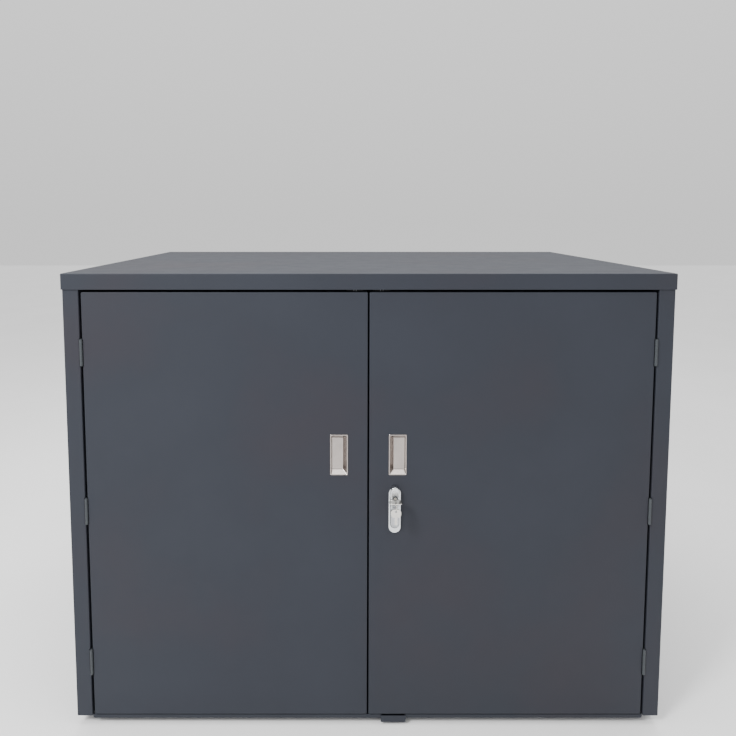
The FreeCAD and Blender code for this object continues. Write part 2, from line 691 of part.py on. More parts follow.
# ---------------------------------------------------------------------------- doors
def door(name, side):
    """A pan-shaped door: skin, returns on four sides and an inner lip."""
    inner, outer = "centre_gap / 2", "centre_gap / 2 + door_width"
    back = f"{FRONT} + door_deep"
    stem = f"door_{name}"
    slab = block(stem + "_block", sided(side, inner, outer), (FRONT, back), ("door_low", "door_high"))
    front = number(FRONT)
    corner = number("door_corner")

    def bends(edge):
        if lies(edge, "Y", front):
            return number("bend")
        return corner if along(edge, "y") else 0
    smooth = rounded(stem + "_bends", slab, bends)
    cavity = block(stem + "_cavity", sided(side, f"{inner} + skin", f"{outer} - skin"),
                   (f"{FRONT} + skin", f"{back} - skin"), ("door_low + skin", "door_high - skin"))
    mouth = block(stem + "_mouth", sided(side, f"{inner} + door_lip", f"{outer} - door_lip"),
                  (f"{back} - 5", f"{back} + 1"), ("door_low + door_lip", "door_high - door_lip"))
    tools = [cavity, mouth]
    tools += barrel_notches(stem + "_notch", side)
    tools += screw_holes(stem + "_hole", side, f"({HINGE_X} - side_gap / 2)")
    tools.append(block(stem + "_pull_hole", about(f"{side} * pull_at", "pull_wide / 2 - pull_rim / 2"),
                       (f"{FRONT} - 1", f"{FRONT} + skin + 1"),
                       about("pull_mid", "pull_tall / 2 - pull_rim / 2")))
    if side > 0:
        tools.append(drum(stem + "_lock_hole", "Y", "boss_hole", "lock_x", (f"{FRONT} - 1", f"{FRONT} + 4"),
                          "(lock_z - turn_drop)"))
        for offset in (-1, 1):
            across = about(f"lock_x + {offset} * (bar_near + bar_wide / 2)", "bar_wide / 2 + 0.6")
            rods_at = f"{FRONT} + cam_back + cam_thick"
            deep = (f"{rods_at} - 0.2", f"{rods_at} + bar_thick + 1")
            tall = ("door_high - 3", "door_high + 1") if offset > 0 else ("door_low - 1", "door_low + 3")
            tools.append(block(f"{stem}_rod_way{offset}", across, deep, tall))
    keep(stem, cut(stem + "_body", smooth, tools))

    stiffener = f"{stem}_stiffener"
    middle = f"{side} * stiffener_at"
    base = f"{FRONT} + skin"
    high = f"{FRONT} + door_deep - skin - 4"
    half = "stiffener_wide / 2"
    outline = [
        (f"{middle} - {half}", base), (f"{middle} - {half} + 15", base),
        (f"{middle} - {half} + 15", f"{high} - skin"), (f"{middle} + {half} - 15", f"{high} - skin"),
        (f"{middle} + {half} - 15", base), (f"{middle} + {half}", base),
        (f"{middle} + {half}", f"{base} + skin"), (f"{middle} + {half} - 15 + skin", f"{base} + skin"),
        (f"{middle} + {half} - 15 + skin", high), (f"{middle} - {half} + 15 - skin", high),
        (f"{middle} - {half} + 15 - skin", f"{base} + skin"), (f"{middle} - {half}", f"{base} + skin"),
    ]
    keep(stiffener, bent_sheet(stiffener + "_sheet", "XY_Plane", outline, "door_low + 30",
                               "door_high - door_low - 60"))

    strike = f"strike_{name}"
    keep(strike, block(strike + "_plate", about(f"{side} * catch_at", "catch_wide / 2 - 2"),
                       (back, f"{back} + 1.5"), ("door_high - 18", "door_high - 3")))


def pull(name, side):
    """A stainless cup with a raised rim; its finger side is the steep one."""
    stem = f"pull_{name}"
    half_x, half_z = "pull_wide / 2", "pull_tall / 2"
    middle = f"{side} * pull_at"
    rim = block(stem + "_rim", about(middle, half_x), (f"{FRONT} - pull_proud", FRONT),
                about("pull_mid", half_z))
    out_y = number(f"{FRONT} - pull_proud")

    def edges(edge):
        if lies(edge, "Y", out_y):
            return 1.2
        return 2.4 if along(edge, "y") else 0
    smooth = rounded(stem + "_rounded", rim, edges)

    def recess(part, wall, start, end):
        """The recess, or with a wall its outside: wide slopes but for the finger side."""
        mouth_x = about(middle, f"{half_x} - pull_rim + {wall}")
        mouth_z = about("pull_mid", f"{half_z} - pull_rim + {wall}")
        near = f"pull_at - {half_x} + pull_rim + pull_slope - {wall}"
        far = f"pull_at + {half_x} - pull_rim - pull_steep + {wall}"
        floor_z = about("pull_mid", f"{half_z} - pull_rim - pull_slope + {wall}")
        return tapered(f"{stem}_{part}", mouth_x, (start, end), mouth_z, sided(side, near, far), floor_z)
    cup = recess("cup", "1.1", FRONT, f"{FRONT} + pull_deep + 1.1")
    hollow = recess("hollow", "0", f"{FRONT} - pull_proud", f"{FRONT} + pull_deep")
    keep(stem, cut(stem + "_body", fuse(stem + "_whole", [smooth, cup]), [hollow]))


# ---------------------------------------------------------------------------- lock
def stadium(stem, half, low, high, deep):
    """An upright slab with round ends."""
    ends = []
    for name, height in (("low", f"{low} + {half}"), ("high", f"{high} - {half}")):
        ends.append(drum(f"{stem}_{name}", "Y", half, "lock_x", deep, height))
    body = block(f"{stem}_mid", about("lock_x", half), deep, (f"{low} + {half}", f"{high} - {half}"))
    return fuse(stem, [body] + ends)


PLATE_FACE = "(0 - body_depth / 2 - plate_thick)"
HUB_BACK = "(0 - body_depth / 2 - plate_thick - handle_play)"
HUB_FACE = "(0 - body_depth / 2 - plate_thick - handle_play - hub_thick)"
PIVOT_Y = "(0 - body_depth / 2 - plate_thick - handle_play - 0.2 - lever_thick / 2)"
TURN_Z = "(lock_z - turn_drop)"
PIVOT_Z = "(lock_z - turn_drop - fold_drop)"
CAM_FRONT = "(0 - body_depth / 2 + cam_back)"
CAM_REAR = "(0 - body_depth / 2 + cam_back + cam_thick)"
ROD_FRONT = "(0 - body_depth / 2 + cam_back + cam_thick + bar_play)"
ROD_REAR = "(0 - body_depth / 2 + cam_back + cam_thick + bar_play + bar_thick)"
CYLINDER_FRONT = f"({HUB_FACE} - cylinder_proud)"
CYLINDER_BACK = f"({CYLINDER_FRONT} + cylinder_long)"


def lock_base():
    """A cast plate with a raised, domed head for the cylinder and a threaded boss behind."""
    plate = stadium("base_stadium", "plate_half", "plate_low", "plate_high", (PLATE_FACE, FRONT))
    face = number(PLATE_FACE)
    soft = number("casting_edge")
    smooth = rounded("base_rounded", plate, lambda edge: soft if lies(edge, "Y", face) else 0)
    head_low = f"{TURN_Z} + handle_half + handle_play"
    deep = (HUB_FACE, f"{FRONT} - 1")
    dome = drum("head_dome", "Y", "handle_half", "lock_x", deep, "head_top - handle_half")
    trunk = block("head_trunk", about("lock_x", "handle_half"), deep, (head_low, "head_top - handle_half"))
    head = fuse("head_solid", [dome, trunk])
    head_face = number(HUB_FACE)
    low_z = number(head_low)

    def rim(edge):
        return soft if lies(edge, "Y", head_face) and not lies(edge, "Z", low_z) else 0
    head_smooth = rounded("head_rounded", head, rim)
    boss = drum("base_boss", "Y", "boss", "lock_x", (f"{FRONT} - 1", f"{CAM_FRONT} - 1"), TURN_Z)
    whole = fuse("lock_base_whole", [smooth, head_smooth, boss])
    keep("lock_base", cut("lock_base_body", whole, [
        drum("base_bore", "Y", "spindle_bore", "lock_x", (f"{PLATE_FACE} - 1", CAM_FRONT), TURN_Z),
        drum("head_bore", "Y", "cylinder + 0.1", "lock_x", (f"{HUB_FACE} - 1", f"{FRONT} - 1"), "lock_z")]))
    nut = drum("lock_nut_ring", "Y", "nut", "lock_x", (f"{FRONT} + skin", f"{FRONT} + skin + nut_thick"),
               TURN_Z)
    hole = drum("lock_nut_hole", "Y", "boss + 0.05", "lock_x",
                (f"{FRONT} + skin - 1", f"{FRONT} + skin + nut_thick + 1"), TURN_Z)
    keep("lock_nut", cut("lock_nut_body", nut, [hole]))


def hub():
    """The turning hub: a disc with a fork for the lever, its pin and the square spindle."""
    deep = (HUB_FACE, HUB_BACK)
    tongue_room = f"{PIVOT_Z} + lever_thick / 2 + 0.8"
    disc = drum("hub_disc", "Y", "handle_half", "lock_x", deep, TURN_Z)
    face = number(HUB_FACE)
    soft = number("casting_edge")
    smooth = rounded("hub_rounded", disc, lambda edge: soft if lies(edge, "Y", face) else 0)
    lower = block("hub_lower", about("lock_x", "20"), (f"{HUB_FACE} - 1", f"{HUB_BACK} + 1"),
                  (f"{PIVOT_Z} - 20", tongue_room))
    upper = cut("hub_upper", smooth, [lower])
    cheeks = []
    for side in (-1, 1):
        low, high = sided(side, "cheek_near", "handle_half")
        across = (f"lock_x + {low}", f"lock_x + {high}")
        cheeks.append(block(f"hub_cheek{side}", across, about(PIVOT_Y, "lever_thick / 2"),
                            (f"{PIVOT_Z} - 1.2", f"{tongue_room} + 1")))
        cheeks.append(drum(f"hub_cheek_end{side}", "X", "lever_thick / 2", across, PIVOT_Y,
                           f"{PIVOT_Z} - 1.2"))
    whole = fuse("hub_whole", [upper] + cheeks)
    keep("handle_hub", cut("hub_body", whole, [
        drum("hub_pin_bore", "X", "pivot_bore", about("lock_x", "handle_half + 1"), PIVOT_Y, PIVOT_Z)]))
    keep("lever_pin", drum("lever_pin_rod", "X", "pivot_bore - 0.05", about("lock_x", "handle_half - 0.1"),
                           PIVOT_Y, PIVOT_Z))
    keep("spindle", block("spindle_bar", about("lock_x", "spindle / 2"), (HUB_BACK, f"{CAM_REAR} + 1"),
                          about(TURN_Z, "spindle / 2")))


def lever():
    """The folding lever: a tongue on the pin and a full-width grip with a round end."""
    deep = about(PIVOT_Y, "lever_thick / 2")
    shoulder = f"{PIVOT_Z} - 6"
    grip = fuse("lever_grip", [
        block("lever_bar", about("lock_x", "handle_half"), deep, ("handle_low + handle_half", shoulder)),
        drum("lever_end", "Y", "handle_half", "lock_x", deep, "handle_low + handle_half")])
    face = number(f"{PIVOT_Y} - lever_thick / 2")
    top = number(shoulder)

    soft = number("casting_edge")

    def rim(edge):
        return soft if lies(edge, "Y", face) and not lies(edge, "Z", top) else 0
    smooth = rounded("lever_rounded", grip, rim)
    tongue = block("lever_tongue", about("lock_x", "tongue_half"), deep, (f"{shoulder} - 1", PIVOT_Z))
    knuckle = drum("lever_knuckle", "X", "lever_thick / 2", about("lock_x", "tongue_half"), PIVOT_Y, PIVOT_Z)
    keep("lever", cut("lever_body", fuse("lever_whole", [smooth, tongue, knuckle]), [
        drum("lever_bore", "X", "pivot_bore", about("lock_x", "20"), PIVOT_Y, PIVOT_Z)]))


def cam_and_rods():
    """The cam on the spindle throws one rod up and the other down."""
    disc = drum("cam_disc", "Y", "cam_half", "lock_x", (CAM_FRONT, CAM_REAR), TURN_Z)
    square = block("cam_square", about("lock_x", "spindle / 2"), (f"{CAM_FRONT} - 1", f"{CAM_REAR} + 1"),
                   about(TURN_Z, "spindle / 2"))
    pins = [drum(f"cam_pin{side}", "Y", "cam_pin", f"lock_x + {side} * throw / 2",
                 (f"{CAM_REAR} - 1", f"{ROD_REAR} + 1"), f"{TURN_Z} - {side} * throw / 2")
            for side in (-1, 1)]
    keep("cam", fuse("cam_body", [cut("cam_plate", disc, [square])] + pins))
    guides = []
    for side, name in ((1, "rod_upper"), (-1, "rod_lower")):
        pin_z = f"{TURN_Z} - {side} * throw / 2"
        end = f"{pin_z} - {side} * 9"
        tall = (end, "rod_high") if side > 0 else ("rod_low", end)
        near, far = "bar_near", "bar_near + bar_wide"
        across = (f"lock_x + {near}", f"lock_x + {far}") if side > 0 else (
            f"lock_x - ({far})", f"lock_x - {near}")
        bar = block(name + "_bar", across, (ROD_FRONT, ROD_REAR), tall)
        notch_x = ("lock_x + bar_near - 1", "lock_x + bar_near + 9.3") if side > 0 else (
            "lock_x - bar_near - 9.3", "lock_x - bar_near + 1")
        notch = block(name + "_notch", notch_x, (f"{ROD_FRONT} - 1", f"{ROD_REAR} + 1"), about(pin_z, "2.7"))
        keep(name, cut(name + "_body", bar, [notch]))
        guide_z = "door_high - guide_set" if side > 0 else "door_low + guide_set"
        middle = f"lock_x + {side} * (bar_near + bar_wide / 2)"
        guide = block(name + "_guide", about(middle, "bar_wide / 2 + guide_wall"),
                      (f"{FRONT} + skin", f"{ROD_REAR} + 3"), about(guide_z, "guide_half"))
        way = block(name + "_guide_way", about(middle, "bar_wide / 2 + 0.3"),
                    (f"{ROD_FRONT} - 0.3", f"{ROD_REAR} + 0.3"), about(guide_z, "guide_half + 1"))
        guides.append(cut(name + "_guide_body", guide, [way]))
    keep("rod_guides", group("rod_guides_pair", guides))


def cylinder_and_key():
    """The push cylinder with its plug, and the key standing in it with its bow level."""
    barrel = drum("cylinder_barrel", "Y", "cylinder", "lock_x", (CYLINDER_FRONT, CYLINDER_BACK), "lock_z")
    face = number(CYLINDER_FRONT)
    smooth = rounded("cylinder_rounded", barrel, lambda edge: 0.5 if lies(edge, "Y", face) else 0)
    keep("lock_cylinder", cut("cylinder_body", smooth, [
        drum("cylinder_bore", "Y", "plug + 0.05", "lock_x", (f"{CYLINDER_FRONT} - 1", f"{CYLINDER_BACK} - 1"),
             "lock_z")]))
    plug = drum("plug_drum", "Y", "plug", "lock_x", (f"{CYLINDER_FRONT} - 0.3", f"{CYLINDER_BACK} - 1.1"),
                "lock_z")
    keyway = block("plug_keyway", about("lock_x", "3.2"), (f"{CYLINDER_FRONT} - 2", f"{CYLINDER_BACK} - 2"),
                   about("lock_z", "0.95"))
    keep("key_plug", cut("plug_body", plug, [keyway]))

    near, far = f"{FRONT} - bow_near", f"{FRONT} - bow_far"
    bow = block("key_bow", about("lock_x", "bow_half"), (far, near), about("lock_z", "key_thick / 2"))
    bow_round = rounded("key_bow_round", bow, lambda edge: 8 if along(edge, "z") else 0)
    blade = block("key_blade", about("lock_x", "3"), (f"{near} - 3", f"{CYLINDER_BACK} - 2.2"),
                  about("lock_z", "0.85"))
    eye = block("key_eye", about("lock_x", "2.5"), (f"{far} + 4.5", f"{far} + 12.7"), about("lock_z", "3"))
    eye_round = rounded("key_eye_round", eye, lambda edge: 2 if along(edge, "z") else 0)
    keep("key", cut("key_body", fuse("key_whole", [blade, bow_round]), [eye_round]))


RING_Y = "(0 - body_depth / 2 - bow_far + 2.25)"
RING_Z = "(lock_z - 7)"


def ring_and_spare():
    """The ring through the key's eye, and the spare key hanging from its lowest point."""
    ring = doc.addObject("Part::Torus", "ring_wire")
    ring.Placement = FreeCAD.Placement(FreeCAD.Vector(), TURN["X"])
    ring.setExpression("Radius1", cells("ring"))
    ring.setExpression("Radius2", cells("wire"))
    place(ring, "lock_x", RING_Y, RING_Z)
    keep("key_ring", ring)
    eye_z = f"{RING_Z} - ring + wire + 0.3 - 2.6"
    deep = about(RING_Y, "key_thick / 2")
    bow = block("spare_bow", about("lock_x", "12"), deep, (f"{eye_z} - 15", f"{eye_z} + 5.2"))
    bow_round = rounded("spare_bow_round", bow, lambda edge: 8 if along(edge, "y") else 0)
    blade = block("spare_blade", about("lock_x", "3.2"), about(RING_Y, "0.85"),
                  (f"{eye_z} - 33", f"{eye_z} - 14"))
    tip = rounded("spare_tip", blade, lambda edge: 2.4 if along(edge, "y") else 0)
    bits = [drum(f"spare_cut{index}", "Y", "1.3", "lock_x + 4", deep, f"{eye_z} - {18 + 3 * index}")
            for index in range(4)]
    eye = drum("spare_eye", "Y", "2.6", "lock_x", about(RING_Y, "3"), eye_z)
    keep("spare_key", cut("spare_body", fuse("spare_whole", [tip, bow_round]), [eye] + bits))


for hand, sign in SIDES.items():
    side_panel(f"side_{hand}", sign)
    base_runner(f"base_runner_{hand}", sign)
    door(hand, sign)
    pull(hand, sign)
    catch(hand, sign)
    cable_gland(f"cable_gland_{hand}", sign)
    hinge_pins(f"hinge_pins_{hand}", sign)
    hinge_screws(f"hinge_screws_post_{hand}", sign, "frame")
    hinge_screws(f"hinge_screws_door_{hand}", sign, "door")
    for level, height in HINGES.items():
        hinge_leaf(f"hinge_{hand}_{level}_post_leaf", sign, height, "frame")
        hinge_leaf(f"hinge_{hand}_{level}_door_leaf", sign, height, "door")
floor_pan()
sill()
roof_lid()
header_rail()
back_panel()
keeper()
shelf()
earth_stud()
lock_base()
hub()
lever()
cam_and_rods()
cylinder_and_key()
ring_and_spare()

# ---------------------------------------------------------------------------- checks and files
doc.recompute()
for item in doc.Objects:
    if {"Invalid", "Error"} & set(item.State):
        raise SystemExit(f"{item.Name} did not recompute: {item.State}")
os.makedirs("parts", exist_ok=True)
for label, piece in PARTS.items():
    shape = piece.Shape
    if shape.isNull() or not shape.isValid():
        raise SystemExit(f"{label} has no valid shape")
    shape.exportStep(f"parts/{label}.step")
    print(f"{label}: {len(shape.Solids)} solid(s), {shape.Volume / 1000:.1f} cm3")
print(len(PARTS), "sub-parts")
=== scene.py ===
# %% [markdown]
# A floor-standing battery cabinet in dark powder-coated steel. Its bent sheets come ready from the
# CAD model, so this lesson is about three things: finishes that make sheet metal look painted,
# plated or polished, the pressed, cast and turned details that a CAD solid leaves plain, and a
# quiet studio to show them in.

# %% Load the frame
import json
import math

import bmesh
import bpy
from mathutils import Matrix, Vector


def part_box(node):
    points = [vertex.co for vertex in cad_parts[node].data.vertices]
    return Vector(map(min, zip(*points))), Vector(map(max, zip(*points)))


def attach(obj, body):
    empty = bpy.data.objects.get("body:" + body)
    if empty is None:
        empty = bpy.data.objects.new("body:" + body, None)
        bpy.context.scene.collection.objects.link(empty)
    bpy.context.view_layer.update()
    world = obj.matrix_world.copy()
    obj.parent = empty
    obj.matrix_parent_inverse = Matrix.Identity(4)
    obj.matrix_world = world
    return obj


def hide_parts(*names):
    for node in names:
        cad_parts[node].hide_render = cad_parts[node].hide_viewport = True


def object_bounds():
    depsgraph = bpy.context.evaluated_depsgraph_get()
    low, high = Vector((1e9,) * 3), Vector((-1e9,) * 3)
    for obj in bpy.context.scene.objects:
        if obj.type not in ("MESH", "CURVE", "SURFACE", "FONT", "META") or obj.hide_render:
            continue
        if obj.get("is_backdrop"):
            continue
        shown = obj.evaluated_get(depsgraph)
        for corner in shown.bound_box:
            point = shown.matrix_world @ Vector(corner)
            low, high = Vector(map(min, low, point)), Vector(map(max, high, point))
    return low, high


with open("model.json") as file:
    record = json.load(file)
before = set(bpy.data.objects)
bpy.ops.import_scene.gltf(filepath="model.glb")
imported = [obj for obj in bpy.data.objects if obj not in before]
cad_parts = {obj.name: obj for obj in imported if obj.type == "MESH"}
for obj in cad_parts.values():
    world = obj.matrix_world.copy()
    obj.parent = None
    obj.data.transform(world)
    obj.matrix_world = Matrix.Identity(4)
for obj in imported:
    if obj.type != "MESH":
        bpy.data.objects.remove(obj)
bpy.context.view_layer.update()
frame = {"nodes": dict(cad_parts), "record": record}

nodes = frame["nodes"]
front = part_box("door_left")[0].y
MM = 0.001
print(len(nodes), "nodes from CAD; the door faces lie at y =", round(front, 4))

# %% [markdown]
# The cabinet is seen from standing height, close up, with its posts nearly upright. A camera that
# only tilts down would lean them inwards, so part of the downward look comes from the lens shift,
# as with an architect's camera, and the rest from a small tilt.

# %% Camera
EYE_LEFT = 0.054
EYE_AWAY = 1.424
EYE_HIGH = 1.263
TILT = 4.5
LENS = 29.8
SHIFT_RIGHT = 0.03
SHIFT_UP = -0.14
camera_data = bpy.data.cameras.new("camera")
camera_data.sensor_width = 36
camera_data.lens = LENS
camera_data.shift_x = SHIFT_RIGHT
camera_data.shift_y = SHIFT_UP
camera = bpy.data.objects.new("camera", camera_data)
camera.location = (-EYE_LEFT, front - EYE_AWAY, EYE_HIGH)
camera.rotation_euler = (math.radians(90 - TILT), 0, 0)
bpy.context.scene.collection.objects.link(camera)
bpy.context.scene.camera = camera
print("camera at", [round(value, 3) for value in camera.location])

# %% [markdown]
# A soft studio: a pale surround fills the shadows, and it's brighter overhead than near the floor,
# because in even light bare metal looks like white plastic: it needs light and dark to mirror. The
# world's direction, as a vector of length one, gives the height, and a Map Range turns it into tone.

# %% Surround
WALL_TONE = 0.92
CEILING_TONE = 1.35
CEILING_FROM = 0.8
world = bpy.data.worlds.new("studio")
world.use_nodes = True
surround = world.node_tree.nodes["Background"]
direction = world.node_tree.nodes.new("ShaderNodeTexCoord")
height = world.node_tree.nodes.new("ShaderNodeSeparateXYZ")
tone = world.node_tree.nodes.new("ShaderNodeMapRange")
tone.inputs["From Max"].default_value = CEILING_FROM
tone.inputs["To Min"].default_value = WALL_TONE
tone.inputs["To Max"].default_value = CEILING_TONE
world.node_tree.links.new(direction.outputs["Generated"], height.inputs["Vector"])
world.node_tree.links.new(height.outputs["Z"], tone.inputs["Value"])
world.node_tree.links.new(tone.outputs["Result"], surround.inputs["Color"])
bpy.context.scene.world = world
print("surround", WALL_TONE, "at the horizon,", CEILING_TONE, "overhead")

# %% [markdown]
# Three area lights: a broad one overhead makes the lid the brightest face, a smaller one on the
# left rims the pulls and the lock and draws their shadows, and a weak one on the right keeps those
# shadows open. A light's size sets how soft its reflection is, and none of them is small.

# %% Lights
def area_light(name, place, look_at, size, power):
    """A rectangular light at a place, aimed at a point; size in metres, power in watts."""
    data = bpy.data.lights.new(name, "AREA")
    data.shape = "RECTANGLE"
    data.size, data.size_y = size
    data.energy = power
    light = bpy.data.objects.new(name, data)
    light.location = place
    aim = Vector(look_at) - Vector(place)
    light.rotation_euler = aim.to_track_quat("-Z", "Y").to_euler()
    bpy.context.scene.collection.objects.link(light)


area_light("top_light", (0, 0.2, 3.2), (0, 0.1, 1), (3.4, 3.0), 95)
area_light("left_light", (-2.0, -2.4, 2.9), (0, -0.4, 0.8), (0.8, 0.9), 150)
area_light("right_light", (2.6, -2.8, 2.6), (0, -0.4, 0.6), (1.8, 2.4), 12)

print("lights:", sorted(light.name for light in bpy.data.lights))

# %% [markdown]
# The floor is one large face, so large that its edge is lost in the distance. It is marked as
# backdrop, which keeps it out of the object's bounds.

# %% Floor
FLOOR_HALF = 14
floor_mesh = bpy.data.meshes.new("floor")
floor_builder = bmesh.new()
bmesh.ops.create_grid(floor_builder, x_segments=1, y_segments=1, size=FLOOR_HALF)
floor_builder.to_mesh(floor_mesh)
floor_builder.free()
floor = bpy.data.objects.new("floor", floor_mesh)
bpy.context.scene.collection.objects.link(floor)
floor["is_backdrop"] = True
print("floor", 2 * FLOOR_HALF, "m wide")

# %% [markdown]
# Every finish starts the same way: a Principled shader, patterns on object coordinates, and a few
# small helpers for noise, colour ramps and bumps. Object coordinates are in metres here, so a
# noise's scale can be read as ripples to the metre, and one pattern runs on over neighbouring
# sheets as one coat of paint does.

# %% Material helpers
def new_material(name):
    """A material, its node tree, its shader and the Object coordinates."""
    material = bpy.data.materials.new(name)
    material.use_nodes = True
    tree = material.node_tree
    coordinates = tree.nodes.new("ShaderNodeTexCoord")
    return material, tree, tree.nodes["Principled BSDF"], coordinates.outputs["Object"]


def noise(tree, place, scale, detail=3.0, stretch=(1, 1, 1)):
    """Noise in ripples to the metre, squeezed by a factor on each axis."""
    mapping = tree.nodes.new("ShaderNodeMapping")
    mapping.inputs["Scale"].default_value = stretch
    tree.links.new(place, mapping.inputs["Vector"])
    texture = tree.nodes.new("ShaderNodeTexNoise")
    texture.inputs["Scale"].default_value = scale
    texture.inputs["Detail"].default_value = detail
    tree.links.new(mapping.outputs["Vector"], texture.inputs["Vector"])
    return texture.outputs["Fac"]


def ramp(tree, value, stops):
    """Turns a value from 0 to 1 into colour; a stop is a position and a colour."""
    node = tree.nodes.new("ShaderNodeValToRGB")
    elements = node.color_ramp.elements
    while len(elements) < len(stops):
        elements.new(0.5)
    for element, (position, colour) in zip(elements, stops):
        element.position = position
        element.color = (*colour, 1)
    tree.links.new(value, node.inputs["Fac"])
    return node.outputs["Color"]


NOISE_LOW = 0.3
NOISE_HIGH = 0.7


def spread(tree, value, low, high):
    """Maps the middle of a noise, where nearly all of it lies, to a range of plain numbers."""
    node = tree.nodes.new("ShaderNodeMapRange")
    node.inputs["From Min"].default_value = NOISE_LOW
    node.inputs["From Max"].default_value = NOISE_HIGH
    node.inputs["To Min"].default_value = low
    node.inputs["To Max"].default_value = high
    tree.links.new(value, node.inputs["Value"])
    return node.outputs["Result"]


def bump(tree, shader, heights):
    """Chains bumps, each a height pattern, its depth in metres and its strength."""
    last = None
    for value, depth, strength in heights:
        node = tree.nodes.new("ShaderNodeBump")
        node.inputs["Distance"].default_value = depth
        node.inputs["Strength"].default_value = strength
        tree.links.new(value, node.inputs["Height"])
        if last:
            tree.links.new(last, node.inputs["Normal"])
        last = node.outputs["Normal"]
    tree.links.new(last, shader.inputs["Normal"])


def shade(colour, factor):
    """A colour made lighter or darker."""
    return tuple(channel * factor for channel in colour)


print("helpers ready: new_material, noise, ramp, spread, bump, shade")

# %% [markdown]
# Powder coat is sprayed on dry and melted in an oven. It sets with a fine orange peel, and its
# colour isn't quite even: it drifts a few percent between cooler and warmer over an arm's length.
# The peel is a bump of two sizes, the drift a slow noise, and the sheen a third pattern.

# %% Powder coat
DRIFT_SCALE = 2.6
SHEEN_SCALE = 26
RIPPLE_SCALE = 140
RIPPLE_DEEP = 0.4 * MM
PEEL_SCALE = 520
PEEL_DEEP = 0.2 * MM
PAINT_SPECULAR = 0.21


def painted(name, cool, warm, rough):
    """Powder coat that drifts from a cool colour to a warm one; rough is a low and a high value."""
    material, tree, shader, place = new_material(name)
    drift = noise(tree, place, DRIFT_SCALE, 5.0)
    tint = ramp(tree, drift, [(0.32, shade(cool, 1.05)), (0.5, shade(cool, 0.97)), (0.68, warm)])
    tree.links.new(tint, shader.inputs["Base Color"])
    sheen = spread(tree, noise(tree, place, SHEEN_SCALE), *rough)
    tree.links.new(sheen, shader.inputs["Roughness"])
    shader.inputs["Specular IOR Level"].default_value = PAINT_SPECULAR
    peel = noise(tree, place, PEEL_SCALE, 2.0)
    ripple = noise(tree, place, RIPPLE_SCALE, 1.0)
    bump(tree, shader, [(ripple, RIPPLE_DEEP, 0.12), (peel, PEEL_DEEP, 0.25)])
    return material


ANTHRACITE = (0.0232, 0.0262, 0.0350)
WARM_ANTHRACITE = (0.0252, 0.0250, 0.0325)
HINGE_GREY = (0.042, 0.047, 0.052)
finishes = {
    "powder_coat": painted("powder_coat", ANTHRACITE, WARM_ANTHRACITE, (0.55, 0.60)),
    "hinge_paint": painted("hinge_paint", HINGE_GREY, shade(HINGE_GREY, 1.1), (0.34, 0.44)),
}
print("paints:", sorted(finishes))

# %% [markdown]
# The bare metals differ in colour, in how sharply they mirror, and in the marks of how they were
# made. Polished stainless has fine scratches along the polishing direction, satin chrome over a
# die casting is even and cloudy, bright zinc is slightly spangled, and nickel on keys is rubbed.

# %% Metals
STAIN_SCALE = 30
SCRATCH_DEEP = 0.04 * MM
ALONG_Z = (12, 12, 1)


def metal(name, colour, rough, scale, stretch=(1, 1, 1), strength=0.12):
    """Bare metal; rough is a low and a high value, and scale sets how fine its marks are."""
    material, tree, shader, place = new_material(name)
    shader.inputs["Metallic"].default_value = 1.0
    stain = noise(tree, place, STAIN_SCALE)
    stops = [(NOISE_LOW, shade(colour, 0.9)), (NOISE_HIGH, shade(colour, 1.06))]
    tint = ramp(tree, stain, stops)
    tree.links.new(tint, shader.inputs["Base Color"])
    lines = noise(tree, place, scale, 2.0, stretch)
    tree.links.new(spread(tree, lines, *rough), shader.inputs["Roughness"])
    bump(tree, shader, [(lines, SCRATCH_DEEP, strength)])
    return material


# The stainless is darker and browner than bare stainless steel: that is a painted reflection of a
# dark, warm room in the polished cups, which the pale studio doesn't give.
metals = {
    "stainless": metal("stainless", (0.39, 0.352, 0.332), (0.12, 0.24), 380, ALONG_Z, 0.10),
    "satin_chrome": metal("satin_chrome", (0.62, 0.64, 0.655), (0.24, 0.34), 1400),
    "lever_chrome": metal("lever_chrome", (0.47, 0.48, 0.50), (0.24, 0.34), 1400),
    "dark_cylinder_metal": metal("dark_cylinder_metal", (0.09, 0.095, 0.10), (0.24, 0.36), 1400),
    "nickel": metal("nickel", (0.66, 0.64, 0.60), (0.14, 0.28), 1800),
    "zinc": metal("zinc", (0.54, 0.56, 0.59), (0.26, 0.44), 420, strength=0.25),
    "brass": metal("brass", (0.62, 0.45, 0.17), (0.20, 0.36), 900),
}
finishes.update(metals)
print("metals:", sorted(metals))

# %% [markdown]
# Moulded nylon copies the eroded surface of its mould: a dense fine grain that breaks up the gloss.

# %% Plastic
CLOUD_SCALE = 60
GLOSS_SCALE = 240
GRAIN_SCALE = 1600
GRAIN_DEEP = 0.08 * MM


def moulded(name, colour, rough):
    """Moulded nylon; rough is a low and a high value."""
    material, tree, shader, place = new_material(name)
    cloud = noise(tree, place, CLOUD_SCALE)
    stops = [(NOISE_LOW, shade(colour, 0.85)), (NOISE_HIGH, shade(colour, 1.15))]
    tint = ramp(tree, cloud, stops)
    tree.links.new(tint, shader.inputs["Base Color"])
    dullness = spread(tree, noise(tree, place, GLOSS_SCALE, 2.0), *rough)
    tree.links.new(dullness, shader.inputs["Roughness"])
    bump(tree, shader, [(noise(tree, place, GRAIN_SCALE, 2.0), GRAIN_DEEP, 0.35)])
    return material


finishes["black_plastic"] = moulded("black_plastic", (0.016, 0.016, 0.018), (0.42, 0.58))
print("moulded: black_plastic")

# %% [markdown]
# Each CAD node keeps its shape and takes the finish that its record names. The floor gets a chalky
# pale grey of its own, a little uneven, so that it doesn't look like an empty background.

# %% Finishes on the CAD nodes
FLOOR_DARK = (0.84, 0.84, 0.84)
FLOOR_LIGHT = (0.87, 0.87, 0.87)


def finish(piece, name):
    """Gives a piece one finish."""
    piece.data.materials.clear()
    piece.data.materials.append(finishes[name])


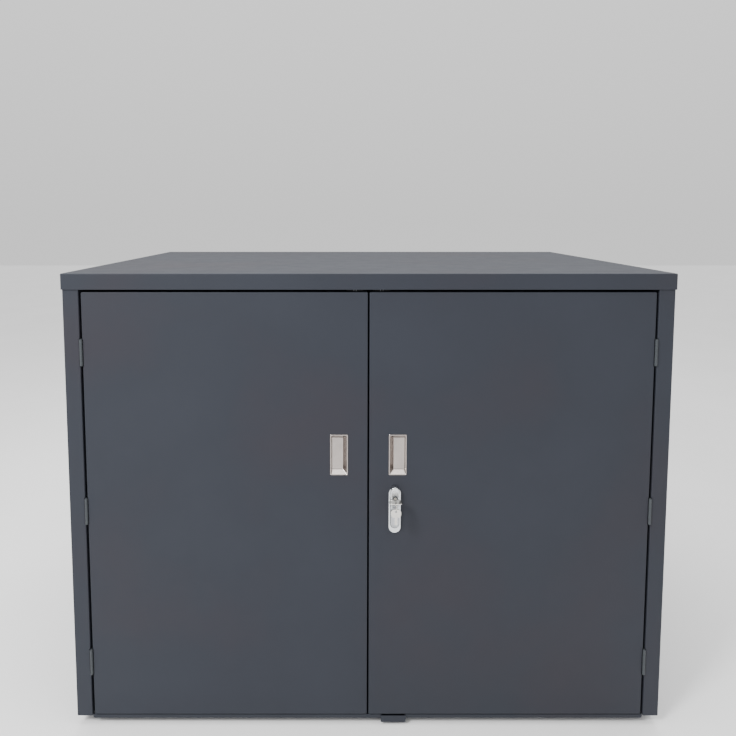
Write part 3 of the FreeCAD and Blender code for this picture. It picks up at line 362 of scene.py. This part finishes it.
slot_of = {row["node"]: row["material_slot"] for row in frame["record"]["subparts"]}
for name, piece in nodes.items():
    finish(piece, slot_of[name])
print(len(finishes), "finishes on", len(nodes), "nodes")

pale, pale_tree, pale_shader, pale_place = new_material("studio_floor")
pale_cloud = noise(pale_tree, pale_place, 1.5)
pale_tint = ramp(pale_tree, pale_cloud, [(NOISE_LOW, FLOOR_DARK), (NOISE_HIGH, FLOOR_LIGHT)])
pale_tree.links.new(pale_tint, pale_shader.inputs["Base Color"])
pale_shader.inputs["Roughness"].default_value = 0.7
floor.data.materials.append(pale)
print("floor finished")

# %% [markdown]
# New pieces are made in bmesh at their final place, because a piece's object has to sit at the
# origin as a CAD node's does. One helper closes each of them: it turns the faces outwards, shades
# the round parts smooth, hangs the piece on the body it rides on, gives it its finish, and hides the
# CAD node that it stands for.

# %% Piece helpers
SHARP = math.radians(32)
WELD = 1e-6


def add_piece(name, builder, body, slot, stands_for):
    """Closes a bmesh and makes it a piece that rides on a body."""
    bmesh.ops.recalc_face_normals(builder, faces=builder.faces)
    mesh = bpy.data.meshes.new(name)
    builder.to_mesh(mesh)
    builder.free()
    mesh.shade_smooth()
    mesh.set_sharp_from_angle(angle=SHARP)
    piece = bpy.data.objects.new(name, mesh)
    bpy.context.scene.collection.objects.link(piece)
    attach(piece, body)
    finish(piece, slot)
    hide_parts(stands_for)
    return piece


def bevel_edges(builder, edges, width, segments):
    """Rounds edges, as a press or a mould does."""
    bmesh.ops.bevel(builder, geom=list(edges), offset=width, offset_type="OFFSET", segments=segments,
                    profile=0.5, affect="EDGES", clamp_overlap=True, material=-1)


def creases(faces, degrees):
    """The edges of these faces where the surface turns by more than some degrees."""
    edges = dict.fromkeys(edge for face in faces for edge in face.edges)
    return [edge for edge in edges if len(edge.link_faces) == 2
            and edge.calc_face_angle(0) > math.radians(degrees)]


def turned(builder, profile, axis_at, axis, steps):
    """Turns a profile of (radius, height) points round an axis, as on a lathe."""
    spin_axis = {"X": Vector((1, 0, 0)), "Y": Vector((0, 1, 0)), "Z": Vector((0, 0, 1))}[axis]
    side = Vector((0, 0, 1)) if axis != "Z" else Vector((1, 0, 0))
    points = [axis_at + side * radius + spin_axis * height for radius, height in profile]
    line = [builder.verts.new(point) for point in points]
    edges = [builder.edges.new(pair) for pair in zip(line, line[1:])]
    bmesh.ops.spin(builder, geom=line + edges, cent=axis_at, axis=spin_axis, angle=math.tau,
                   steps=steps, use_merge=True)
    bmesh.ops.remove_doubles(builder, verts=builder.verts, dist=WELD)


print("helpers ready: add_piece, bevel_edges, creases, turned")

# %% [markdown]
# The pull is a flush cup pressed from one stainless blank and clinched into the door. Pressing
# goes in stages, and so does this: a face with rounded corners is inset for the rim, pushed back
# for the cup, and shrunk for the sloping walls. The wall on the hinge side stays steep, which gives
# fingers an edge to hold. Its bends are then rounded and the sheet gets its thickness.

# %% Pulls
PULL_CORNER = 2.2 * MM
RIM = 2.4 * MM
RIM_ROLL = 0.6 * MM
RIM_DRAFT = 0.2 * MM
CUP_ROUND = 1.3 * MM
RIM_ROUND = 0.25 * MM
SLOPE = 10.0 * MM
STEEP = 2.0 * MM
END_SLOPE = 8.4 * MM
CUP_DEEP = 9.6 * MM
PULL_SHEET = 0.8 * MM
SEAM = 0.02 * MM


def step_in(builder, face, back, narrower, lower, aside=0.0):
    """One stage of pressing: a thin inset that is pushed back, narrowed, lowered and shifted."""
    bmesh.ops.inset_region(builder, faces=[face], thickness=SEAM, use_even_offset=True,
                           use_boundary=True)
    centre = face.calc_center_bounds()
    wide = 2 * max(abs(vert.co.x - centre.x) for vert in face.verts)
    tall = 2 * max(abs(vert.co.z - centre.z) for vert in face.verts)
    shrink = Vector((1 - narrower / wide, 1, 1 - lower / tall))
    bmesh.ops.scale(builder, vec=shrink, space=Matrix.Translation(-centre), verts=face.verts)
    bmesh.ops.translate(builder, vec=(aside, back, 0), verts=face.verts)


def pull(name, hinge_side):
    """A flush cup whose steep wall is on the hinge side."""
    low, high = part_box(name)
    centre = (low + high) / 2
    builder = bmesh.new()
    bmesh.ops.create_grid(builder, x_segments=1, y_segments=1, size=0.5)
    bmesh.ops.scale(builder, vec=(high.x - low.x, high.z - low.z, 1), verts=builder.verts)
    bmesh.ops.rotate(builder, cent=(0, 0, 0), matrix=Matrix.Rotation(math.pi / 2, 3, "X"),
                     verts=builder.verts)
    bmesh.ops.translate(builder, vec=(centre.x, front, centre.z), verts=builder.verts)
    bmesh.ops.bevel(builder, geom=builder.verts[:], offset=PULL_CORNER, offset_type="OFFSET",
                    segments=5, profile=0.5, affect="VERTICES", material=-1)
    face = builder.faces[:][0]
    proud = front - low.y
    aside = hinge_side * (SLOPE - STEEP) / 2
    step_in(builder, face, RIM_ROLL - proud, RIM_DRAFT, RIM_DRAFT)
    step_in(builder, face, -RIM_ROLL, 2 * RIM_ROLL, 2 * RIM_ROLL)
    step_in(builder, face, 0, 2 * (RIM - 2 * RIM_ROLL), 2 * (RIM - 2 * RIM_ROLL))
    step_in(builder, face, RIM_ROLL, 2 * RIM_ROLL, 2 * RIM_ROLL)
    step_in(builder, face, proud - RIM_ROLL + CUP_DEEP, SLOPE + STEEP, 2 * END_SLOPE, aside)
    bevel_edges(builder, face.edges, CUP_ROUND, 4)
    bevel_edges(builder, creases(builder.faces, 35), RIM_ROUND, 2)
    body = "right_door" if hinge_side > 0 else "left_door"
    piece = add_piece(f"{name}_cup", builder, body, "stainless", name)
    wall = piece.modifiers.new("sheet", "SOLIDIFY")
    wall.thickness = PULL_SHEET
    wall.offset = -1
    piece.modifiers.new("flat_faces", "WEIGHTED_NORMAL").keep_sharp = True
    return piece


for name, hinge_side in (("pull_left", -1), ("pull_right", 1)):
    print(name, len(pull(name, hinge_side).data.polygons), "faces")

# %% [markdown]
# The folding lever is a die casting. Its grip is a flat bar with a round end, with a generous round
# on its edge, where the chrome catches a long soft highlight, and a shallow hollow in its face for
# the finger. It starts from a circle whose upper half is pulled up, which makes the straight sides.

# %% Lever
GRIP_EDGE = 1.6 * MM
SCOOP_MARGIN = 1.6 * MM
SCOOP_SLOPE = 0.8 * MM
SCOOP_DEEP = 0.45 * MM
SCOOP_ROUND = 0.35 * MM
SHOULDER_DOWN = 6 * MM
TONGUE_HALF = 5.6 * MM


def stadium(builder, centre, radius, top, steps):
    """A flat face in XZ with a round lower end and, at the given height, a round upper one."""
    upright = Matrix.Rotation(math.pi / 2, 4, "X")
    half_step = Matrix.Rotation(math.pi / steps, 4, "Z")
    made = bmesh.ops.create_circle(builder, cap_ends=True, segments=steps, radius=radius,
                                   matrix=Matrix.Translation(centre) @ upright @ half_step)
    upper = [vert for vert in made["verts"] if vert.co.z > centre.z]
    bmesh.ops.translate(builder, vec=(0, 0, top - radius - centre.z), verts=upper)


lever_low, lever_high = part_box("lever")
hub_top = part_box("handle_hub")[1].z
pin_low, pin_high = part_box("lever_pin")
grip_half = (lever_high.x - lever_low.x) / 2
grip_middle = (lever_low.x + lever_high.x) / 2
lever_middle = (lever_low.y + lever_high.y) / 2
pin_height = (pin_low.z + pin_high.z) / 2
shoulder = pin_height - SHOULDER_DOWN

builder = bmesh.new()
round_end = Vector((grip_middle, lever_high.y, lever_low.z + grip_half))
stadium(builder, round_end, grip_half, shoulder + grip_half, 48)
bmesh.ops.bisect_plane(builder, geom=builder.verts[:] + builder.edges[:] + builder.faces[:],
                       plane_co=(0, 0, shoulder), plane_no=(0, 0, 1), clear_outer=True)
grown = bmesh.ops.extrude_face_region(builder, geom=builder.faces[:])
new_verts = [item for item in grown["geom"] if isinstance(item, bmesh.types.BMVert)]
bmesh.ops.translate(builder, vec=(0, lever_low.y - lever_high.y, 0), verts=new_verts)
print("grip", round(2 * grip_half / MM, 1), "mm wide")

# %% [markdown]
# The edge round the face is rounded, but not where the grip meets the tongue. The face that the
# bevel leaves is then inset twice and pushed in a little, which is the hollow for the fingertip.

# %% Lever's face and tongue
front_face = min(builder.faces, key=lambda face: face.calc_center_median().y)
outline = [edge for edge in front_face.edges
           if min(vert.co.z for vert in edge.verts) <= shoulder - MM / 10]
bevel_edges(builder, outline, GRIP_EDGE, 5)
facing = [face for face in builder.faces
          if abs(face.normal.y) > 0.99 and face.calc_center_median().y < lever_middle]
front_face = max(facing, key=lambda face: face.calc_area())
for margin in (SCOOP_MARGIN, SCOOP_SLOPE):
    bmesh.ops.inset_region(builder, faces=[front_face], thickness=margin, use_even_offset=True)
bmesh.ops.translate(builder, vec=(0, SCOOP_DEEP, 0), verts=front_face.verts)
bevel_edges(builder, front_face.edges, SCOOP_ROUND, 3)

tongue_thick = lever_high.y - lever_low.y
spot = Matrix.Translation((grip_middle, lever_middle, (shoulder + pin_height) / 2))
size = Matrix.Diagonal((2 * TONGUE_HALF, tongue_thick, pin_height - shoulder + MM, 1))
bmesh.ops.create_cube(builder, size=1, matrix=spot @ size)
around_pin = Matrix.Translation((grip_middle, lever_middle, pin_height))
bmesh.ops.create_cone(builder, cap_ends=True, segments=40, radius1=tongue_thick / 2,
                      radius2=tongue_thick / 2, depth=2 * TONGUE_HALF,
                      matrix=around_pin @ Matrix.Rotation(math.pi / 2, 4, "Y"))
lever_casting = add_piece("lever_casting", builder, "lever", "satin_chrome", "lever")
finish(lever_casting, "lever_chrome")
print("lever_casting", len(lever_casting.data.polygons), "faces")

# %% [markdown]
# The plate is painted darker in a narrow strip round the raised lever, reaching further below its
# round end, which makes the lever stand out. This is a painted shadow, the one the raised lever
# casts on the plate, made here as a finish and not as a shape. The cause isn't known. It could be a
# shadow, or chrome that a buffing wheel didn't reach, and it's made here as a finish and not as a
# shape. The finish finds the strip by distance: a point's height is first moved to the nearest point
# of the lever's middle line, and the distance from there makes a ramp from shadowed to bright.

# %% Lock plate
# The painted shadow of the lever: darkest within the first distance of its middle line, gone by the
# second, and reaching further below its round end.
SHADOW_EDGE = grip_half + 0.9 * MM
BRIGHT_EDGE = grip_half + 1.9 * MM
BELOW = 3.6 * MM
SHADOWED_CHROME = (0.17, 0.175, 0.18)
BRIGHT_CHROME = (0.70, 0.72, 0.735)


def line_distance(tree, place, x, low_z, high_z):
    """The distance in XZ from an upright line with two ends."""
    split = tree.nodes.new("ShaderNodeSeparateXYZ")
    tree.links.new(place, split.inputs["Vector"])
    held = tree.nodes.new("ShaderNodeClamp")
    held.inputs["Min"].default_value = low_z
    held.inputs["Max"].default_value = high_z
    tree.links.new(split.outputs["Z"], held.inputs["Value"])
    nearest = tree.nodes.new("ShaderNodeCombineXYZ")
    nearest.inputs["X"].default_value = x
    tree.links.new(held.outputs["Result"], nearest.inputs["Z"])
    flat = tree.nodes.new("ShaderNodeCombineXYZ")
    tree.links.new(split.outputs["X"], flat.inputs["X"])
    tree.links.new(split.outputs["Z"], flat.inputs["Z"])
    length = tree.nodes.new("ShaderNodeVectorMath")
    length.operation = "DISTANCE"
    tree.links.new(flat.outputs["Vector"], length.inputs[0])
    tree.links.new(nearest.outputs["Vector"], length.inputs[1])
    return length.outputs["Value"]


plate, plate_tree, plate_shader, plate_place = new_material("plate_chrome_painted_shadow")
plate_shader.inputs["Metallic"].default_value = 1.0
away = line_distance(plate_tree, plate_place, grip_middle, round_end.z - BELOW, hub_top)
edge = plate_tree.nodes.new("ShaderNodeMapRange")
edge.inputs["From Min"].default_value = SHADOW_EDGE
edge.inputs["From Max"].default_value = BRIGHT_EDGE
plate_tree.links.new(away, edge.inputs["Value"])
# The colour ramps from painted shadow next to the lever to the plate's own bright chrome.
chrome_tone = ramp(plate_tree, edge.outputs["Result"], [(0, SHADOWED_CHROME), (1, BRIGHT_CHROME)])
plate_tree.links.new(chrome_tone, plate_shader.inputs["Base Color"])
grain = noise(plate_tree, plate_place, 1400)
plate_tree.links.new(spread(plate_tree, grain, 0.20, 0.30), plate_shader.inputs["Roughness"])
bump(plate_tree, plate_shader, [(grain, SCRATCH_DEEP, 0.12)])
finishes["plate_chrome_painted_shadow"] = plate
finish(nodes["lock_base"], "plate_chrome_painted_shadow")
# It prints how far from the lever's middle line the painted shadow stays at its darkest.
print("lock plate dull within", round(SHADOW_EDGE / MM, 2), "mm of the lever's middle line")

# %% [markdown]
# A split key ring is spring wire wound twice and pressed flat, so its two turns lie side by side
# and each end shows as a small step. A helix of two turns gives the centre line, and a small circle
# swept along it gives the wire. Blender's curves do the sweeping, and the result is made a mesh.

# %% Key ring
RING_TURNS = 1.94
POINTS_PER_TURN = 40
CROSSING_AT = 0.94 * math.pi + 0.45
CROSSING_HALF = 0.5
ring_low, ring_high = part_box("key_ring")
ring_centre = (ring_low + ring_high) / 2
wire = (ring_high.x - ring_low.x) / 2
reach = (ring_high.y - ring_low.y) / 2 - wire / 2

curve = bpy.data.curves.new("ring_curve", "CURVE")
curve.dimensions = "3D"
curve.bevel_depth = wire / 2
curve.bevel_resolution = 5
curve.use_fill_caps = True
spline = curve.splines.new("POLY")
point_count = int(POINTS_PER_TURN * RING_TURNS)
spline.points.add(point_count - 1)
for index, point in enumerate(spline.points):
    angle = math.tau * RING_TURNS * index / (point_count - 1)
    across = min(1.0, max(-1.0, (angle - CROSSING_AT) / CROSSING_HALF))
    point.co = (ring_centre.x + across * wire / 2, ring_centre.y + reach * math.cos(angle),
                ring_centre.z + reach * math.sin(angle), 1)

loop = bpy.data.objects.new("ring_loop", curve)
bpy.context.scene.collection.objects.link(loop)
evaluated = loop.evaluated_get(bpy.context.evaluated_depsgraph_get())
wire_mesh = bpy.data.meshes.new_from_object(evaluated)
bpy.data.objects.remove(loop)
builder = bmesh.new()
builder.from_mesh(wire_mesh)
bmesh.ops.remove_doubles(builder, verts=builder.verts, dist=WELD)
split_ring = add_piece("split_ring", builder, "ring_set", "nickel", "key_ring")
print("split_ring", len(split_ring.data.polygons), "faces")

# %% [markdown]
# A hinge pin is upset cold at both ends, which leaves a low round head, and a screw head is turned
# or rolled to a shallow dome with a hollow for the driver. Both are round, so both are profiles
# turned round an axis: a short list of radius and height, the way a turner would draw them.

# %% Hinge pins
PIN_RADIUS = 1.5 * MM
PIN_HEAD = 0.75 * MM
LEVELS = ("lower", "middle", "upper")


def dome(radius, base, height, steps=5):
    """Profile points of a rounded head, from its rim to its middle."""
    points = []
    for step in range(steps + 1):
        angle = math.pi / 2 * step / steps
        points.append((radius * math.cos(angle), base + height * math.sin(angle)))
    return points


for side in ("left", "right"):
    pins_low, pins_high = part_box(f"hinge_pins_{side}")
    pins_middle = (pins_low + pins_high) / 2
    head_radius = (pins_high.x - pins_low.x) / 2
    builder = bmesh.new()
    for level in LEVELS:
        leaf_low, leaf_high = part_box(f"hinge_{side}_{level}_post_leaf")
        centre = Vector((pins_middle.x, pins_middle.y, (leaf_low.z + leaf_high.z) / 2))
        half = (leaf_high.z - leaf_low.z) / 2
        upper = [(head_radius, half + 0.2 * MM)]
        upper += dome(head_radius, half + 0.25 * MM, PIN_HEAD)
        lower = [(radius, -height) for radius, height in reversed(upper)]
        shank = [(PIN_RADIUS, -half - 0.1 * MM), (PIN_RADIUS, half + 0.1 * MM)]
        turned(builder, lower + shank + upper, centre, "Z", 24)
    pins = add_piece(f"{side}_pins_upset", builder, "cabinet", "zinc", f"hinge_pins_{side}")
    finish(pins, "hinge_paint")
    print(pins.name, len(pins.data.polygons), "faces")

# %% [markdown]
# The screws stand level in the edges of the leaves, two to a leaf. A profile is written once, from
# the middle of the head to the tip, and each row of screws turns it along the way it points.

# %% Hinge screws
SCREW_RADIUS = 1.9 * MM
SCREW_HEAD = 3.4 * MM
SCREW_UP = 19.84 * MM
SCREW_POINT = 0.8 * MM


def screw_profile(long):
    """Radius and depth from the hollow of the head to the tip."""
    hollow = [(0, 0.35 * MM), (0.5 * MM, 0.33 * MM), (1.3 * MM, 0.02 * MM), (1.5 * MM, 0)]
    rim = [(2.6 * MM, 0.06 * MM), (SCREW_HEAD - 0.15 * MM, 0.2 * MM), (SCREW_HEAD, 0.35 * MM),
           (SCREW_HEAD, 0.5 * MM)]
    thread = [(SCREW_RADIUS, 0.5 * MM), (SCREW_RADIUS, long - 0.6 * MM), (SCREW_POINT, long),
              (0, long)]
    return hollow + rim + thread


def screw_row(side, owner, body, inward):
    """All the screws of one side's post or door leaves; inward is the way they point."""
    name = f"hinge_screws_{owner}_{side}"
    low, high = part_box(name)
    head_at = high.x if inward > 0 else low.x
    profile = [(radius, -inward * depth) for radius, depth in screw_profile(high.x - low.x)]
    builder = bmesh.new()
    for level in LEVELS:
        leaf_low, leaf_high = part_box(f"hinge_{side}_{level}_post_leaf")
        for up in (-SCREW_UP, SCREW_UP):
            height = (leaf_low.z + leaf_high.z) / 2 + up
            turned(builder, profile, Vector((head_at, (low.y + high.y) / 2, height)), "X", 24)
    return add_piece(f"{owner}_screws_{side}", builder, body, "zinc", name)


for side, out in (("left", -1), ("right", 1)):
    owners = (("post", "cabinet", -out), ("door", f"{side}_door", out))
    for owner, body, inward in owners:
        screws = screw_row(side, owner, body, inward)
        print(screws.name, len(screws.data.polygons), "faces")

# %% [markdown]
# Where a cable leaves, a nylon gland clamps it: a hex flange outside, a threaded sleeve through the
# sheet, a hex lock nut inside, and a rubber ring that closes round the cable. The earth stud near
# them is a plain bolt with a washer, a nut and some thread left free for a cable lug. Threads this
# fine read well as stacked ridges, so a turned profile makes them and no helix is needed.

# %% Cable glands
FLANGE = 3 * MM
BACK_SHEET = 1.5 * MM
LOCK_NUT = 5 * MM
GLAND_EDGE = 0.7 * MM
SLEEVE = 15.8 * MM
SLEEVE_END = 14.8 * MM
SLEEVE_BORE = 9.6 * MM
SEAL_LIP = 9.0 * MM


def hexagon(builder, centre, radius, low_y, high_y, edge):
    """A hex flange or nut along Y with its corners broken."""
    spot = Matrix.Translation((centre.x, (low_y + high_y) / 2, centre.z))
    made = bmesh.ops.create_cone(builder, cap_ends=True, segments=6, radius1=radius, radius2=radius,
                                 depth=high_y - low_y,
                                 matrix=spot @ Matrix.Rotation(math.pi / 2, 4, "X"))
    edges = dict.fromkeys(link for vert in made["verts"] for link in vert.link_edges)
    bevel_edges(builder, edges, edge, 3)


def ridges(radius, depth, start, end, pitch):
    """Profile points of a thread's outline from one height to another."""
    points = []
    turns = round((end - start) / pitch)
    for turn in range(turns):
        low = start + turn * pitch
        points += [(radius - depth, low), (radius, low + pitch / 2)]
    return points + [(radius - depth, start + turns * pitch)]


def turned_at_y(builder, profile, centre, steps):
    """Turns a profile of (radius, y) points round the Y axis through a centre."""
    turned(builder, [(radius, y - centre.y) for radius, y in profile], centre, "Y", steps)


for side in ("left", "right"):
    name = f"cable_gland_{side}"
    low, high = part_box(name)
    centre = (low + high) / 2
    hex_radius = (high.x - low.x) / 2
    flange_in = high.y - FLANGE
    sheet_front = flange_in - BACK_SHEET
    thread_end = sheet_front - LOCK_NUT + 0.1 * MM
    builder = bmesh.new()
    hexagon(builder, centre, hex_radius, flange_in, high.y, GLAND_EDGE)
    hexagon(builder, centre, hex_radius, sheet_front - LOCK_NUT, sheet_front, GLAND_EDGE)
    sleeve = [(SLEEVE_BORE, low.y), (SLEEVE_END, low.y)]
    sleeve += ridges(SLEEVE, 0.8 * MM, low.y + 0.5 * MM, thread_end, 1.5 * MM)
    sleeve += [(SLEEVE, thread_end), (SLEEVE, flange_in), (SLEEVE, high.y - 0.1 * MM),
               (SLEEVE_BORE, high.y - 0.1 * MM), (SLEEVE_BORE, low.y)]
    turned_at_y(builder, sleeve, centre, 48)
    seal = [(SLEEVE_BORE, 2 * MM), (9.1 * MM, 1.4 * MM), (SEAL_LIP, 0), (9.1 * MM, -1.4 * MM),
            (SLEEVE_BORE, -2 * MM), (SLEEVE_BORE, 2 * MM)]
    turned(builder, seal, centre, "Y", 48)
    gland = add_piece(f"gland_{side}_hex", builder, "cabinet", "black_plastic", name)
    print(gland.name, len(gland.data.polygons), "faces")

# %% [markdown]
# The earth stud is the same idea with other sizes: a bolt head inside, a washer and a nut outside,
# and a length of free thread for the lug of the earth cable.

# %% Earth stud
STUD = 4 * MM
STUD_TIP = 3.2 * MM
STUD_HEAD = 4 * MM
HEX_EDGE = 0.5 * MM
low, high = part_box("earth_stud")
centre = (low + high) / 2
sheet_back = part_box("cable_gland_left")[1].y - FLANGE
nut_start = sheet_back + 1 * MM
builder = bmesh.new()
hexagon(builder, centre, 7.2 * MM, nut_start, nut_start + 4.5 * MM, HEX_EDGE)
washer = [(STUD, 0), (7.4 * MM, 0), (7.5 * MM, 0.3 * MM), (7.5 * MM, 0.8 * MM), (7.3 * MM, 1 * MM),
          (STUD, 1 * MM), (STUD, 0)]
washer_at = [(radius, sheet_back + height) for radius, height in washer]
turned_at_y(builder, washer_at, centre, 40)
hexagon(builder, centre, 7 * MM, low.y, low.y + STUD_HEAD, HEX_EDGE)
shank = [(0, low.y + 1 * MM), (STUD, low.y + 1 * MM), (STUD, sheet_back)]
shank += ridges(STUD, 0.55 * MM, sheet_back + 5 * MM, high.y - 1 * MM, 1.25 * MM)
shank += [(STUD_TIP, high.y), (0, high.y)]
turned_at_y(builder, shank, centre, 32)
earth_bolt = add_piece("earth_bolt", builder, "cabinet", "brass", "earth_stud")
print(earth_bolt.name, len(earth_bolt.data.polygons), "faces")

# %% [markdown]
# Many small parts are right in CAD but for their edges: nothing that is stamped, cast or moulded has
# a perfectly sharp one, and without a small round no edge catches the light. So a copy of each such
# node is merged into one skin, its triangles are dissolved back into flat faces, and its sharp edges
# are rounded by what the process leaves: a burr's width on a key, more on moulded nylon.

# %% Edges broken
body_of = {}
for body, members in frame["record"]["behaviour"]["bodies"].items():
    for member in members:
        body_of[member] = body


def soften(node, width):
    """A copy of a CAD node, merged into one skin, with its sharp edges rounded."""
    builder = bmesh.new()
    builder.from_mesh(nodes[node].data)
    bmesh.ops.remove_doubles(builder, verts=builder.verts, dist=WELD)
    bmesh.ops.dissolve_limit(builder, angle_limit=math.radians(1), verts=builder.verts,
                             edges=builder.edges)
    bevel_edges(builder, creases(builder.faces, 40), width, 2)
    piece = add_piece(f"{node}_eased", builder, body_of[node], slot_of[node], node)
    piece.modifiers.new("flat_faces", "WEIGHTED_NORMAL").keep_sharp = True
    return piece


# The lock cylinder is shown in near-black metal, much darker than the chrome round it.
SEEN_AS = {"lock_cylinder": "dark_cylinder_metal"}
EASED = {
    "key": 0.35, "spare_key": 0.35, "key_plug": 0.2, "handle_hub": 0.3, "spindle": 0.4, "cam": 0.3,
    "rod_upper": 0.5, "rod_lower": 0.5, "strike_left": 0.4, "strike_right": 0.4, "rod_guides": 0.8,
    "catch_left": 1.0, "catch_right": 1.0, "catch_left_poles": 0.25, "catch_right_poles": 0.25,
    "keeper": 0.4, "lock_nut": 0.6, "lever_pin": 0.3, "lock_cylinder": 0.25,
}
for node, width in EASED.items():
    eased = soften(node, width * MM)
    if node in SEEN_AS:
        finish(eased, SEEN_AS[node])
print(len(EASED), "small parts eased")

# %% [markdown]
# Last, the bounds of the visual model are measured, with the floor left out.

# %% Finish
low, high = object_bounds()
